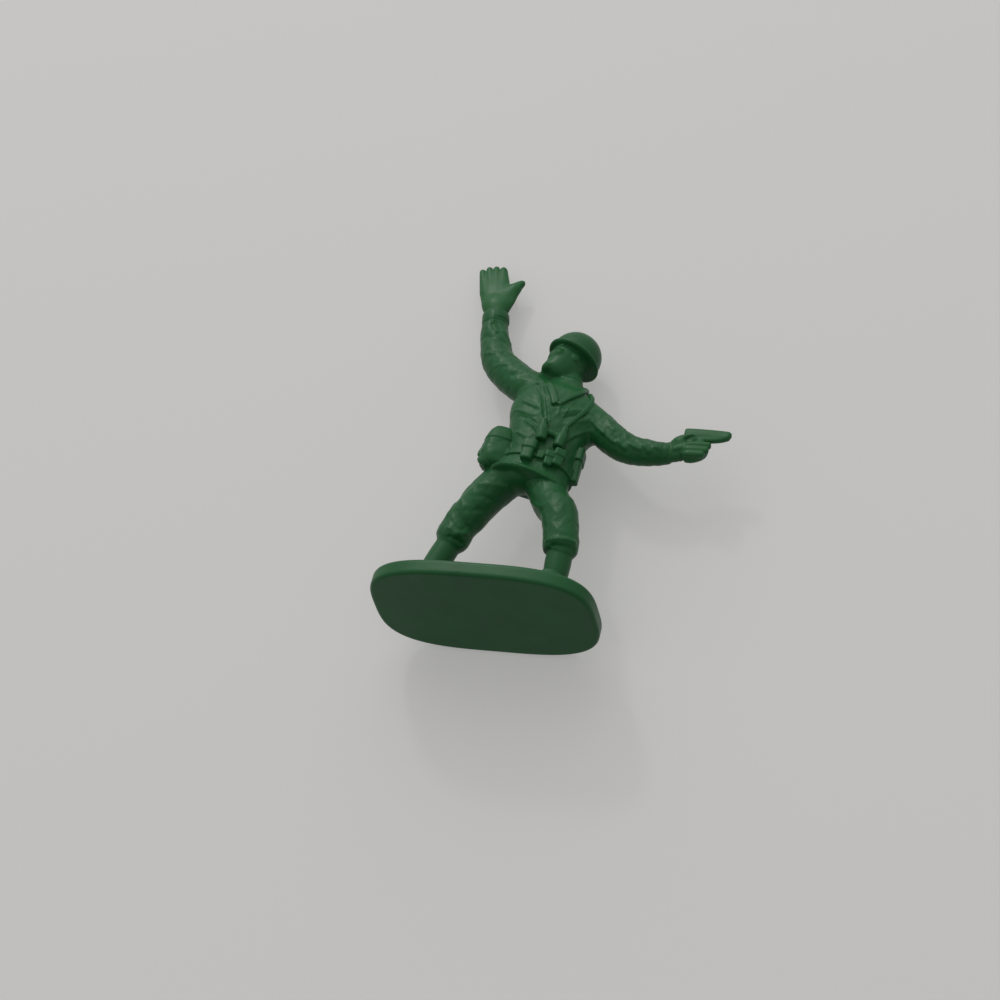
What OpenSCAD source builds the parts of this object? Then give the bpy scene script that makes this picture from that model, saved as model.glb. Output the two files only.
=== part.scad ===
// Toy soldier figure, moulded in soft green plastic: an officer on an oval base who signals with the
// raised right hand and holds a pistol in the left. Millimetres, +Z up. The figure faces -Y, so +X is
// its left side, and the origin is the middle of the flat underside of the base.
// Every piece is a skin drawn through stations, and is cut to the piece that it sits on.

/* [Base] */
// Length of the base, side to side
base_l = 20; // [18:0.5:26]
// Width of the base, front to back
base_w = 12; // [11:0.1:16]
// Thickness of the base
base_t = 1.5; // [1:0.1:2.5]
// Rounding of the base's upper and lower edges
base_edge_r = 0.35; // [0.1:0.05:0.45]
// Squareness of the oval outline, where 2 is an ellipse
base_power = 3.2; // [2.2:0.1:4.5]

/* [Figure] */
// Height of the figure, from the underside of the base to the crown of the helmet
figure_h = 30; // [28:0.5:34]
// Turn of the chest toward the figure's left, in degrees
chest_turn = 10; // [0:1:18]
// Turn of the head toward the figure's right, in degrees
head_turn = 55; // [35:1:70]
// Lift of the face above level, in degrees
head_lift = 20; // [5:1:30]

/* [Legs] */
// Thickness of the trousers at the thigh
thigh_d = 3.45; // [3:0.05:4]
// Thickness of the trousers at the knee
knee_d = 3.15; // [2.7:0.05:3.6]
// Thickness of the bloused trouser bottom
blouse_d = 3; // [2.7:0.05:3.5]
// Thickness of the boot shaft
boot_d = 2.3; // [1.9:0.05:2.6]
// Length of the boot's foot
foot_l = 4.5; // [3.6:0.1:5]
// Width of the boot's foot
foot_w = 1.9; // [1.5:0.05:2.3]
// Height of the boot's foot at the instep
foot_h = 1.6; // [1.3:0.05:2]
// Thickness of the boot's sole
sole_t = 0.35; // [0.2:0.05:0.5]
// Ledge of the sole round the boot
sole_ledge = 0.1; // [0.05:0.01:0.2]

/* [Jacket] */
// Width of the jacket at the hem
hem_w = 7.5; // [6.8:0.1:8.4]
// Depth of the jacket at the hem, front to back
hem_d = 4.6; // [4.2:0.1:5.4]
// Width of the jacket at the waist
waist_w = 6.3; // [5.6:0.1:7]
// Depth of the jacket at the waist
waist_d = 4.4; // [3.9:0.1:5]
// Width of the jacket at the chest
chest_w = 8.2; // [7.4:0.1:9]
// Depth of the jacket at the chest
chest_d = 4.8; // [4.2:0.1:5.4]
// Width of the jacket at the shoulders
shoulder_w = 7.2; // [6.4:0.1:8]
// Depth of the jacket at the shoulders
shoulder_d = 4.2; // [3.6:0.1:4.8]
// Width of the turned-down collar
collar_w = 0.85; // [0.7:0.05:1.2]
// Height that the collar stands off the jacket
collar_t = 0.24; // [0.15:0.01:0.35]

/* [Arms] */
// Thickness of the sleeve at the upper arm
upper_sleeve_d = 3.35; // [2.9:0.05:3.8]
// Thickness of the sleeve at the elbow
elbow_d = 3.05; // [2.5:0.05:3.4]
// Thickness of the sleeve at the wrist
sleeve_end_d = 2.2; // [2:0.05:2.5]
// Thickness of the left sleeve at the wrist
left_sleeve_end_d = 1.6; // [1.4:0.05:2]
// Share of the right arm's thickness that the bent left arm has
left_arm_share = 0.83; // [0.75:0.01:1]
// Length of the turned-back cuff
cuff_l = 1; // [0.7:0.05:1.3]
// Height that the cuff stands off the sleeve
cuff_t = 0.1; // [0.05:0.01:0.2]

/* [Hands] */
// Width of the open palm
palm_w = 2.65; // [2.3:0.05:3]
// Thickness of the open palm
palm_t = 1.25; // [1:0.05:1.5]
// Length of the longest finger, from the knuckle
finger_l = 2.45; // [2.1:0.05:2.8]
// Thickness of a finger
finger_d = 0.7; // [0.6:0.02:0.8]
// Length of the thumb
thumb_l = 2.5; // [2:0.05:2.9]
// Thickness of the thumb
thumb_d = 1.45; // [1.2:0.05:1.6]
// Width of the closed left hand, along the pistol
fist_w = 3.2; // [2.8:0.05:3.5]
// Height of the closed left hand
fist_h = 2.6; // [2.3:0.05:2.9]
// Thickness of the closed left hand
fist_t = 1.8; // [1.6:0.05:2.2]

/* [Head] */
// Height of the head, chin to crown
head_h = 4; // [3.5:0.1:4.4]
// Width of the head, ear to ear
head_w = 2.95; // [2.6:0.05:3.2]
// Depth of the head, face to nape
head_d = 3.5; // [3.1:0.05:3.8]
// Thickness of the neck
neck_d = 2.3; // [1.9:0.05:2.6]
// Width of the helmet's bowl
helmet_w = 4.15; // [3.8:0.05:4.6]
// Depth of the helmet's bowl, front to back
helmet_d = 4.65; // [4.3:0.05:5]
// Height of the helmet
helmet_h = 2.85; // [2.5:0.05:3.2]
// Reach of the helmet's brim past the bowl
brim_out = 0.18; // [0.1:0.02:0.3]
// Thickness of the helmet's brim
brim_t = 0.3; // [0.2:0.02:0.4]

/* [Equipment] */
// Height of the belt
belt_h = 0.85; // [0.6:0.05:1.1]
// Height that the belt stands off the jacket
belt_t = 0.22; // [0.15:0.01:0.3]
// Width of the belt's buckle
buckle_w = 0.65; // [0.5:0.05:0.8]
// Width of the right belt pouch, the largest
pouch_w = 1.15; // [0.9:0.05:1.3]
// Height of the right belt pouch
pouch_h = 1.9; // [1.5:0.05:2.2]
// Depth that the right belt pouch stands out
pouch_t = 0.6; // [0.4:0.05:0.8]
// Thickness of a pouch, canteen or holster flap
flap_t = 0.1; // [0.05:0.01:0.16]
// Width of the canteen
canteen_w = 2.6; // [2.2:0.1:3]
// Height of the canteen
canteen_h = 4.2; // [3.7:0.1:4.7]
// Depth that the canteen stands out
canteen_t = 2.1; // [1.7:0.05:2.4]
// Width of the holster
holster_w = 1.5; // [1.2:0.05:1.8]
// Height of the holster
holster_h = 3.4; // [2.9:0.1:3.9]
// Depth that the holster stands out
holster_t = 0.5; // [0.35:0.05:0.7]
// Length of a binocular barrel
barrel_l = 2.3; // [1.9:0.05:2.6]
// Thickness of a binocular barrel
barrel_d = 1.05; // [0.85:0.05:1.2]
// Width of the binocular's neck strap
strap_w = 0.7; // [0.5:0.05:0.85]
// Height that the strap stands off the jacket
strap_t = 0.17; // [0.12:0.01:0.25]

/* [Pistol] */
// Length of the slide
slide_l = 4.1; // [3.6:0.1:4.8]
// Height of the slide
slide_h = 0.84; // [0.66:0.02:0.96]
// Width of the slide
slide_w = 0.62; // [0.5:0.02:0.75]
// Length of the grip below the slide
grip_l = 1.9; // [1.5:0.05:2.1]
// Depth of the grip, front to back
grip_d = 0.95; // [0.8:0.05:1.1]
// Diameter of the barrel's muzzle
muzzle_d = 0.42; // [0.3:0.02:0.5]

/* [Hidden] */

// Moulded green, and the slightly lighter green of the thin pieces
moulded = [0.18, 0.34, 0.23];
moulded_thin = [0.24, 0.43, 0.29];

// Facets round a main skin, round a small one, round a band and round the base
around = 16;
small_around = 10;
band_around = 8;
base_around = 48;
// Rings between two stations of a main skin
steps = 3;

// Lap of one stretch of a skin into the next, and size of the core that laps
lap_share = 0.3;
core_share = 0.6;

// Roundness of a limb, of the jacket and of a boxy piece, where 2 is an ellipse
limb_power = 2;
torso_power = 2.3;
box_power = 4;

// Places in the figure as shares of its height, each with x, y and z
right_hip_share = [-0.013, -0.027, 0.48];
right_thigh_share = [-0.081, -0.017, 0.387];
right_knee_share = [-0.116, -0.01, 0.339];
right_shin_share = [-0.143, -0.003, 0.296];
right_blouse_share = [-0.156, 0, 0.248];
left_hip_share = [0.092, -0.037, 0.452];
left_thigh_share = [0.126, -0.047, 0.376];
left_knee_share = [0.162, -0.06, 0.327];
left_shin_share = [0.186, -0.065, 0.255];
left_blouse_share = [0.196, -0.06, 0.2];
right_arm_shares = [
    [0.03, -0.02, 0.755], [-0.026, -0.02, 0.791], [-0.104, -0.013, 0.847], [-0.162, -0.007, 0.906],
    [-0.189, -0.003, 0.973], [-0.205, 0, 1.03], [-0.214, 0, 1.084]
];
left_arm_shares = [
    [0.11, -0.02, 0.725], [0.185, -0.02, 0.69], [0.252, -0.017, 0.636], [0.312, -0.013, 0.605],
    [0.374, -0.013, 0.598], [0.415, -0.013, 0.598], [0.428, -0.015, 0.599]
];
right_palm_shares = [[-0.217, 0, 1.1], [-0.23, 0, 1.152], [-0.243, 0, 1.2]];
thumb_root_share = [-0.212, -0.003, 1.154];
fist_share = [0.4917, -0.02, 0.6183];
torso_shares = [
    [0.053, -0.048, 0.434], [0.057, -0.036, 0.495], [0.062, -0.033, 0.6], [0.068, -0.03, 0.68],
    [0.075, -0.027, 0.743], [0.08, -0.023, 0.787], [0.083, -0.02, 0.82]
];
head_share = [0.065, -0.03, 0.9];
// Places of the ankles on the base, as shares of its half length and half width
right_ankle_share = [-0.63, 0.08];
left_ankle_share = [0.585, -0.22];
// Direction of each toe, in degrees from the front toward the figure's left
right_toe_turn = -30;
left_toe_turn = 8;

// Levels of the jacket: the places in torso_shares, counted up from the hem
hem = 0;
waist = hem + 1;
ribs = waist + 1;
shoulder = ribs + 2;
neck_base = len(torso_shares) - 1;

// Places round the jacket, in degrees from its front toward the figure's left
pouch_turns = [-11, 17, 31];
buckle_turn = 4;
canteen_turn = -84;
holster_turn = 92;
barrel_turns = [-2, 24];
// Lean of the top of each barrel toward the figure's left, in degrees
barrel_leans = [8, -3];
// Sizes of the three pouches as shares of the largest, and how far each hangs below the belt's middle
pouch_shares = [1, 0.72, 0.85];
pouch_drop_shares = [-0.05, 0.2, 0.02];

function unit(v) = v / norm(v);
function mix(a, b, share) = a + (b - a) * share;
function at(share) = figure_h * share;
function place(station) = [station[0], station[1], station[2]];
function station(p, w, d) = [p[0], p[1], p[2], w, d];
function rounded(c, power) = sign(c) * pow(abs(c), 2 / power);

// Curve that passes smoothly through the list p, at share t of the span from p[i] to the next entry
function curve(p, i, t) =
    let (a = p[max(i - 1, 0)], b = p[i], c = p[i + 1], d = p[min(i + 2, len(p) - 1)])
    (2 * b + (c - a) * t + (2 * a - 5 * b + 4 * c - d) * t * t + (3 * b - a - 3 * c + d) * t * t * t) / 2;

// The stations p with count rings from each one to the next
function along_curve(p, count) = [
    for (i = [0 : len(p) - 2]) for (k = [0 : count - 1]) curve(p, i, k / count),
    p[len(p) - 1]
];

// Ring of facets round a station, across the direction ahead; ref points out of the broad side
function ring(s, ahead, ref, power, facets) =
    let (u = unit(cross(ref, ahead)), v = cross(ahead, u))
    [
        for (k = [0 : facets - 1])
            let (a = 360 * k / facets)
            place(s) + u * s[3] / 2 * rounded(cos(a), power) + v * s[4] / 2 * rounded(sin(a), power)
    ];

// Middle of a ring, and the ring drawn in to core_share of its size round another middle
function ring_middle(r) = [for (k = [0 : len(r) - 1]) 1] * r / len(r);
function core(r, middle, at_middle) = [for (q = r) at_middle + (q - middle) * core_share];

// Direction of the path of stations s at its entry i
function heading(s, i) = unit(place(s[min(i + 1, len(s) - 1)]) - place(s[max(i - 1, 0)]));

// Closed skin over a list of rings. Each stretch ends in a smaller core that laps into the next one.
module skin(rings) {
    n = len(rings[0]);
    last = len(rings) - 1;
    middles = [for (r = rings) ring_middle(r)];
    sides = [for (k = [0 : n - 1]) [k, (k + 1) % n, n + (k + 1) % n, n + k]];
    ends = [[for (k = [0 : n - 1]) n - 1 - k], [for (k = [0 : n - 1]) n + k]];
    for (i = [0 : last - 1])
        hull() {
            polyhedron(concat(rings[i], rings[i + 1]), concat(sides, ends));
            if (i < last - 1)
                polyhedron(
                    concat(
                        core(rings[i + 1], middles[i + 1], middles[i + 1]),
                        core(rings[i + 1], middles[i + 1], mix(middles[i + 1], middles[i + 2], lap_share))
                    ),
                    concat(sides, ends)
                );
        }
}

// Skin through stations, each one an x, y, z, width and depth
module limb(p, count = steps, ref = [0, -1, 0], power = limb_power, facets = around) {
    s = along_curve(p, count);
    skin([for (i = [0 : len(s) - 1]) ring(s[i], heading(s, i), ref, power, facets)]);
}

// Jacket sections, and places on its surface
torso_sizes = [
    [hem_w, hem_d], [waist_w, waist_d], mix([waist_w, waist_d], [chest_w, chest_d], 0.35),
    [chest_w, chest_d], [shoulder_w, shoulder_d], mix([shoulder_w, shoulder_d], [neck_d, neck_d], 0.66),
    [neck_d, neck_d] * 1.15
];
torso = [
    for (i = [0 : len(torso_shares) - 1])
        station(at(torso_shares[i]), torso_sizes[i][0], torso_sizes[i][1])
];
torso_left = [cos(chest_turn), sin(chest_turn), 0];
torso_front = [sin(chest_turn), -cos(chest_turn), 0];
torso_up = unit(at(torso_shares[shoulder]) - at(torso_shares[waist]));
function torso_at(level) =
    let (i = min(floor(level), len(torso) - 2))
    curve(torso, i, level - i);
function on_torso(level, turn, out = 0) =
    let (s = torso_at(level))
    place(s) + torso_left * (s[3] / 2 + out) * rounded(sin(turn), torso_power)
        + torso_front * (s[4] / 2 + out) * rounded(cos(turn), torso_power);
function torso_normal(level, turn) =
    let (s = torso_at(level))
    unit(torso_left * sin(turn) / s[3] + torso_front * cos(turn) / s[4]);

// Flat band laid on the jacket along a route of levels and turns
module band(route, count, w, t) {
    r = along_curve(route, count);
    s = [for (q = r) station(on_torso(q[0], q[1]), w, 2 * t)];
    skin([
        for (i = [0 : len(s) - 1])
            ring(s[i], heading(s, i), torso_normal(r[i][0], r[i][1]), box_power, band_around)
    ]);
}

// Puts children on the jacket, with x to the figure's left, y outward and z up
module on_jacket(level, turn) {
    y = torso_normal(level, turn);
    z = unit(torso_up - y * (torso_up * y));
    x = cross(y, z);
    p = on_torso(level, turn);
    multmatrix([
        [x[0], y[0], z[0], p[0]],
        [x[1], y[1], z[1], p[1]],
        [x[2], y[2], z[2], p[2]],
        [0, 0, 0, 1]
    ]) children();
}

// Base

// Outline of the base, drawn in by inset
function base_outline(inset) = [
    for (k = [0 : base_around - 1])
        let (a = 360 * k / base_around)
        [
            (base_l / 2 - inset) * rounded(cos(a), base_power),
            (base_w / 2 - inset) * rounded(sin(a), base_power)
        ]
];

module base_layer(z0, z1, inset) {
    translate([0, 0, z0]) linear_extrude(z1 - z0) polygon(base_outline(inset));
}

module base_form() {
    hull() {
        base_layer(0, base_t, base_edge_r);
        base_layer(base_edge_r * 0.3, base_t - base_edge_r * 0.3, base_edge_r * 0.3);
        base_layer(base_edge_r, base_t - base_edge_r, 0);
    }
}

module base() {
    color(moulded) base_form();
}

// Legs: each has its ankle on the base and its blouse, the trouser bottom tucked over the boot

function ankle(share) = [base_l / 2 * share[0], base_w / 2 * share[1], base_t + foot_h];

// Foot along -Y with its sole on the base and the ankle over the origin
module foot_form() {
    heel = foot_l * 0.24;
    limb([
        station([0, heel, foot_h * 0.5], foot_w * 0.5, foot_h * 0.7),
        station([0, heel * 0.8, foot_h * 0.52], foot_w * 0.8, foot_h * 1.04),
        station([0, 0, foot_h * 0.56], foot_w * 0.88, foot_h * 1.12),
        station([0, heel - foot_l * 0.5, foot_h * 0.42], foot_w * 0.92, foot_h * 0.84),
        station([0, heel - foot_l * 0.75, foot_h * 0.34], foot_w, foot_h * 0.68),
        station([0, heel - foot_l * 0.93, foot_h * 0.3], foot_w * 0.8, foot_h * 0.58),
        station([0, heel - foot_l, foot_h * 0.24], foot_w * 0.4, foot_h * 0.34)
    ], count = 1, ref = [0, 0, 1], power = 2.6, facets = 14);
    hull()
        for (y = [heel - foot_w * 0.45, heel - foot_l + foot_w * 0.5 + sole_ledge])
            translate([0, y, 0])
                scale([y > 0 ? 0.9 : 1, 1, 1]) cylinder(sole_t, d = foot_w + 2 * sole_ledge, $fn = 20);
}

module boot_form(ankle_share, blouse_share, toe_turn) {
    low = ankle(ankle_share);
    top = at(blouse_share);
    limb([
        station(low - [0, 0, foot_h * 0.5], boot_d * 0.82, boot_d * 0.92),
        station(low, boot_d * 0.86, boot_d * 0.96),
        station(mix(low, top, 0.3), boot_d * 0.96, boot_d),
        station(mix(low, top, 0.7), boot_d, boot_d),
        station(mix(low, top, 1.2), boot_d * 0.8, boot_d * 0.96)
    ], count = 1);
    translate([low[0], low[1], base_t]) rotate(toe_turn) foot_form();
}

module right_boot_form() {
    boot_form(right_ankle_share, right_blouse_share, right_toe_turn);
}

module left_boot_form() {
    boot_form(left_ankle_share, left_blouse_share, left_toe_turn);
}

// Trouser leg through the shares hip, thigh, knee, shin and blouse, tucked in toward the ankle
module trouser_form(shares, ankle_share) {
    low = ankle(ankle_share);
    blouse = at(shares[4]);
    tuck = mix(blouse, low, 0.22);
    limb([
        station(at(shares[0]), thigh_d * 1.04, thigh_d * 1.1),
        station(at(shares[1]), thigh_d, thigh_d * 1.08),
        station(at(shares[2]), knee_d, knee_d * 1.08),
        station(at(shares[3]), mix(knee_d, blouse_d, 0.6), mix(knee_d, blouse_d, 0.6)),
        station(blouse, blouse_d, blouse_d),
        station(tuck, boot_d * 0.7, boot_d * 0.7)
    ], count = 2);
}

module right_trouser_form() {
    trouser_form(
        [right_hip_share, right_thigh_share, right_knee_share, right_shin_share, right_blouse_share],
        right_ankle_share
    );
}

module left_trouser_form() {
    trouser_form(
        [left_hip_share, left_thigh_share, left_knee_share, left_shin_share, left_blouse_share],
        left_ankle_share
    );
}

module right_boot() {
    color(moulded) difference() {
        right_boot_form();
        base_form();
    }
}

module left_boot() {
    color(moulded) difference() {
        left_boot_form();
        base_form();
    }
}

module right_trouser_leg() {
    color(moulded) difference() {
        right_trouser_form();
        right_boot_form();
    }
}

module left_trouser_leg() {
    color(moulded) difference() {
        left_trouser_form();
        left_boot_form();
        right_trouser_form();
    }
}

// Jacket and collar

module jacket_form() {
    limb(torso, ref = torso_front, power = torso_power, facets = 20);
}

module jacket() {
    color(moulded) difference() {
        jacket_form();
        right_trouser_form();
        left_trouser_form();
    }
}

// Levels and turns of the collar from the foot of its opening round the nape and back
collar_route = [
    [3.05, 1], [3.6, -5], [4.3, -18], [4.9, -45], [5.25, -80], [5.4, -130], [5.45, -180], [5.4, -230],
    [5.25, -280], [4.9, -312], [4.4, -328], [3.95, -339], [3.5, -349], [3.05, -357]
];

module collar_form() {
    band(collar_route, 1, collar_w, collar_t);
}

module collar() {
    color(moulded) difference() {
        collar_form();
        jacket_form();
        neck_form();
    }
}

// Head, neck and helmet

// Puts children in the head, with the face toward -Y and z from chin to crown
module in_head() {
    translate(at(head_share)) rotate([-head_lift, 0, -head_turn]) children();
}

// Levels of the head from chin to crown: height, forward shift, width and depth as shares
head_level_shares = [
    [-0.5, 0.22, 0.4, 0.3], [-0.45, 0.18, 0.62, 0.54], [-0.3, 0.1, 0.86, 0.82], [-0.12, 0.04, 0.96, 0.96],
    [0.05, 0.02, 1, 1], [0.2, 0, 1, 1], [0.36, 0, 0.9, 0.9], [0.5, 0, 0.5, 0.5]
];

module head_form() {
    in_head() {
        limb([
            for (s = head_level_shares)
                station([0, -head_d * s[1], head_h * s[0]], head_w * s[2], head_d * s[3])
        ], count = 2, power = 2.2);
        // Nose
        limb([
            station([0, -head_d * 0.46, head_h * 0.03], head_w * 0.16, head_d * 0.1),
            station([0, -head_d * 0.5, -head_h * 0.08], head_w * 0.22, head_d * 0.13),
            station([0, -head_d * 0.52, -head_h * 0.15], head_w * 0.28, head_d * 0.15),
            station([0, -head_d * 0.48, -head_h * 0.2], head_w * 0.22, head_d * 0.1)
        ], count = 1, facets = 8);
        // Ears
        for (side = [-1, 1])
            translate([side * head_w * 0.5, head_d * 0.05, 0])
                scale([head_w * 0.14, head_d * 0.22, head_h * 0.22]) sphere(d = 1, $fn = 8);
    }
}

module neck_form() {
    limb([
        station(at(torso_shares[shoulder]), neck_d, neck_d),
        station(at(torso_shares[neck_base]), neck_d, neck_d),
        station(mix(at(torso_shares[neck_base]), at(head_share), 0.4), neck_d * 0.92, neck_d * 0.92),
        station(mix(at(torso_shares[neck_base]), at(head_share), 0.85), neck_d * 0.9, neck_d * 0.9)
    ], count = 2);
}

module neck() {
    color(moulded) difference() {
        neck_form();
        jacket_form();
        head_form();
    }
}

module head() {
    color(moulded) head_form();
}

// Bowl and brim in one turned outline, as shares of the helmet's half width and height
module helmet_form() {
    bowl_r = helmet_w / 2;
    foot = head_h * 0.1;
    bowl = [for (a = [0 : 15 : 75]) [bowl_r * pow(cos(a), 0.85), brim_t + (helmet_h - brim_t) * sin(a)]];
    brim = [
        [0, 0], [bowl_r + brim_out * 0.7, 0], [bowl_r + brim_out, brim_t * 0.5],
        [bowl_r + brim_out * 0.5, brim_t]
    ];
    in_head()
        translate([0, head_d * 0.05, foot])
            scale([1, helmet_d / helmet_w, 1])
                rotate_extrude($fn = 24) polygon(concat(brim, bowl, [[0, helmet_h]]));
}

module helmet() {
    color(moulded) difference() {
        helmet_form();
        head_form();
    }
}

// Arms

// Thickness of the sleeve at each of its stations, shoulder to wrist
function sleeve_sizes(upper, elbow, end) = [
    upper * 0.8, upper, upper, elbow, mix(elbow, end, 0.45), mix(elbow, end, 0.75), end
];

module sleeve_form(shares, sizes) {
    limb([for (i = [0 : len(shares) - 1]) station(at(shares[i]), sizes[i], sizes[i])], count = 2);
}

// Cuff turned back over the end of a sleeve
module cuff_form(shares, end) {
    last = at(shares[len(shares) - 1]);
    back = unit(at(shares[len(shares) - 3]) - last);
    d = end + 2 * cuff_t;
    limb([
        station(last + back * cuff_l * 0.9, d * 0.97, d * 0.97),
        station(last + back * cuff_l * 0.75, d, d),
        station(last - back * cuff_l * 0.05, d, d),
        station(last - back * cuff_l * 0.1, d * 0.96, d * 0.96)
    ], count = 1);
}

module right_sleeve_form() {
    sleeve_form(right_arm_shares, sleeve_sizes(upper_sleeve_d, elbow_d, sleeve_end_d));
}

module left_sleeve_form() {
    sleeve_form(
        left_arm_shares,
        sleeve_sizes(upper_sleeve_d * left_arm_share, elbow_d * left_arm_share, left_sleeve_end_d)
    );
}

module right_cuff_form() {
    cuff_form(right_arm_shares, sleeve_end_d);
}

module left_cuff_form() {
    cuff_form(left_arm_shares, left_sleeve_end_d);
}

module right_sleeve() {
    color(moulded) difference() {
        right_sleeve_form();
        jacket_form();
        collar_form();
        strap_form();
    }
}

module left_sleeve() {
    color(moulded) difference() {
        left_sleeve_form();
        jacket_form();
        collar_form();
        strap_form();
    }
}

module right_cuff() {
    color(moulded) difference() {
        right_cuff_form();
        right_sleeve_form();
    }
}

module left_cuff() {
    color(moulded) difference() {
        left_cuff_form();
        left_sleeve_form();
    }
}

// Open right hand: a flat palm, four fingers side by side and a thumb toward the head

right_wrist = at(right_arm_shares[len(right_arm_shares) - 1]);
palm_top = at(right_palm_shares[len(right_palm_shares) - 1]);
palm_up = unit(palm_top - at(right_palm_shares[0]));
palm_side = unit(cross([0, 1, 0], palm_up));
// Lengths of the fingers, little finger to forefinger
finger_shares = [0.94, 1.02, 1, 0.9];

module finger_form(root, tip_way, l, d) {
    limb([
        station(root - tip_way * d, d, d),
        station(root + tip_way * l * 0.3, d, d),
        station(root + tip_way * (l - d * 0.5), d * 0.94, d * 0.94),
        station(root + tip_way * (l - d * 0.15), d * 0.72, d * 0.72),
        station(root + tip_way * l, d * 0.3, d * 0.3)
    ], count = 1, facets = 8);
}

module right_hand_form() {
    limb([
        station(right_wrist, palm_w * 0.68, palm_t * 1.3),
        station(at(right_palm_shares[0]), palm_w * 0.76, palm_t * 1.2),
        station(at(right_palm_shares[1]), palm_w, palm_t),
        station(palm_top, palm_w, palm_t * 0.86),
        station(palm_top + palm_up * finger_d * 0.4, palm_w * 0.92, palm_t * 0.6)
    ], count = 2, power = 2.6);
    for (i = [0 : 3])
        finger_form(
            palm_top + palm_side * (i - 1.5) * palm_w * 0.225,
            unit(palm_up + palm_side * (i - 1.5) * 0.03), finger_l * finger_shares[i], finger_d
        );
}

module right_thumb_form() {
    root = at(thumb_root_share);
    way = unit(palm_up * 0.54 + palm_side * 0.84);
    limb([
        station(root - way * thumb_d * 0.4, thumb_d, thumb_d),
        station(root + way * thumb_l * 0.3, thumb_d, thumb_d * 0.9),
        station(root + way * thumb_l * 0.75, thumb_d * 0.68, thumb_d * 0.66),
        station(root + way * thumb_l, thumb_d * 0.3, thumb_d * 0.3)
    ], facets = 10);
}

module right_hand() {
    color(moulded_thin) difference() {
        right_hand_form();
        right_sleeve_form();
        right_cuff_form();
    }
}

module right_thumb() {
    color(moulded_thin) difference() {
        right_thumb_form();
        right_hand_form();
    }
}

// Closed left hand round the pistol's grip

left_wrist = at(left_arm_shares[len(left_arm_shares) - 1]);
fist = at(fist_share);

module left_hand_form() {
    // Wrist and back of the hand
    limb([
        station(left_wrist - [cuff_l, 0, 0], left_sleeve_end_d * 0.86, left_sleeve_end_d * 0.8),
        station(mix(left_wrist, fist, 0.3), fist_h * 0.6, fist_t * 0.76),
        station(fist - [fist_w * 0.18, 0, 0], fist_h * 0.97, fist_t),
        station(fist + [fist_w * 0.2, 0, 0], fist_h, fist_t * 0.98),
        station(fist + [fist_w * 0.42, 0, 0], fist_h * 0.78, fist_t * 0.85),
        station(fist + [fist_w * 0.52, 0, 0], fist_h * 0.4, fist_t * 0.5)
    ], count = 1, power = 2.6, facets = 14);
    // Fingers folded to the near side of the grip
    for (i = [0 : 2])
        finger_form(
            fist + [fist_w * 0.4, -fist_t * 0.4, fist_h * (0.12 - 0.24 * i)],
            [-1, 0, 0], fist_w * 0.55, fist_h * 0.26
        );
    // Thumb along the frame
    finger_form(
        fist + [-fist_w * 0.3, -fist_t * 0.34, fist_h * 0.24],
        unit([1, -0.1, 0.25]), fist_w * 0.6, fist_h * 0.27
    );
}

// Pistol: slide, frame, trigger guard, grip and muzzle; its rear is over the web of the hand
pistol_rear = fist + [-fist_w * 0.22, -fist_t * 0.17, fist_h * 0.53];

module pistol_form() {
    slide_at = pistol_rear;
    limb([
        station(slide_at, slide_h * 0.8, slide_w * 0.8),
        station(slide_at + [slide_l * 0.03, 0, 0], slide_h, slide_w),
        station(slide_at + [slide_l * 0.95, 0, 0], slide_h * 0.88, slide_w),
        station(slide_at + [slide_l, 0, 0], slide_h * 0.7, slide_w * 0.8)
    ], count = 1, power = box_power, facets = small_around);
    // Frame below the slide, short of the muzzle
    under = slide_at - [0, 0, slide_h * 0.6];
    limb([
        station(under + [slide_l * 0.06, 0, 0], slide_h * 0.7, slide_w * 0.9),
        station(under + [slide_l * 0.78, 0, 0], slide_h * 0.7, slide_w * 0.9),
        station(under + [slide_l * 0.84, 0, slide_h * 0.1], slide_h * 0.5, slide_w * 0.8)
    ], count = 1, power = box_power, facets = small_around);
    // Trigger guard, a solid web
    limb([
        station(under + [slide_l * 0.36, 0, 0], slide_l * 0.3, slide_w * 0.5),
        station(under + [slide_l * 0.35, 0, -slide_h * 0.8], slide_l * 0.24, slide_w * 0.5),
        station(under + [slide_l * 0.34, 0, -slide_h * 1.1], slide_l * 0.14, slide_w * 0.4)
    ], count = 1, power = 2.6, facets = small_around);
    // Grip, raked back
    rake = [-grip_l * 0.12, 0, -grip_l];
    limb([
        station(under + [slide_l * 0.16, 0, 0], grip_d, slide_w),
        station(under + [slide_l * 0.16, 0, 0] + rake * 0.5, grip_d, slide_w * 1.1),
        station(under + [slide_l * 0.16, 0, 0] + rake, grip_d * 1.05, slide_w * 1.1)
    ], count = 1, power = 3, facets = small_around);
    // Muzzle
    translate(slide_at + [slide_l * 0.9, 0, slide_h * 0.05])
        rotate([0, 90, 0]) cylinder(slide_l * 0.13, d = muzzle_d, $fn = 12);
}

module left_hand() {
    color(moulded_thin) difference() {
        left_hand_form();
        left_sleeve_form();
        left_cuff_form();
        pistol_form();
    }
}

module pistol() {
    color(moulded_thin) pistol_form();
}

// Belt and what hangs on it

belt_low = waist - belt_h / 2 / norm(at(torso_shares[waist] - torso_shares[hem]));
belt_high = waist + belt_h / 2 / norm(at(torso_shares[ribs] - torso_shares[waist]));

function belt_station(level, out) =
    let (s = torso_at(level))
    station(place(s), s[3] + 2 * out, s[4] + 2 * out);

module belt_form() {
    limb([
        belt_station(belt_low, belt_t * 0.6), belt_station(mix(belt_low, waist, 0.3), belt_t),
        belt_station(mix(waist, belt_high, 0.7), belt_t), belt_station(belt_high, belt_t * 0.6)
    ], count = 1, ref = torso_front, power = torso_power, facets = 22);
}

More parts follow.
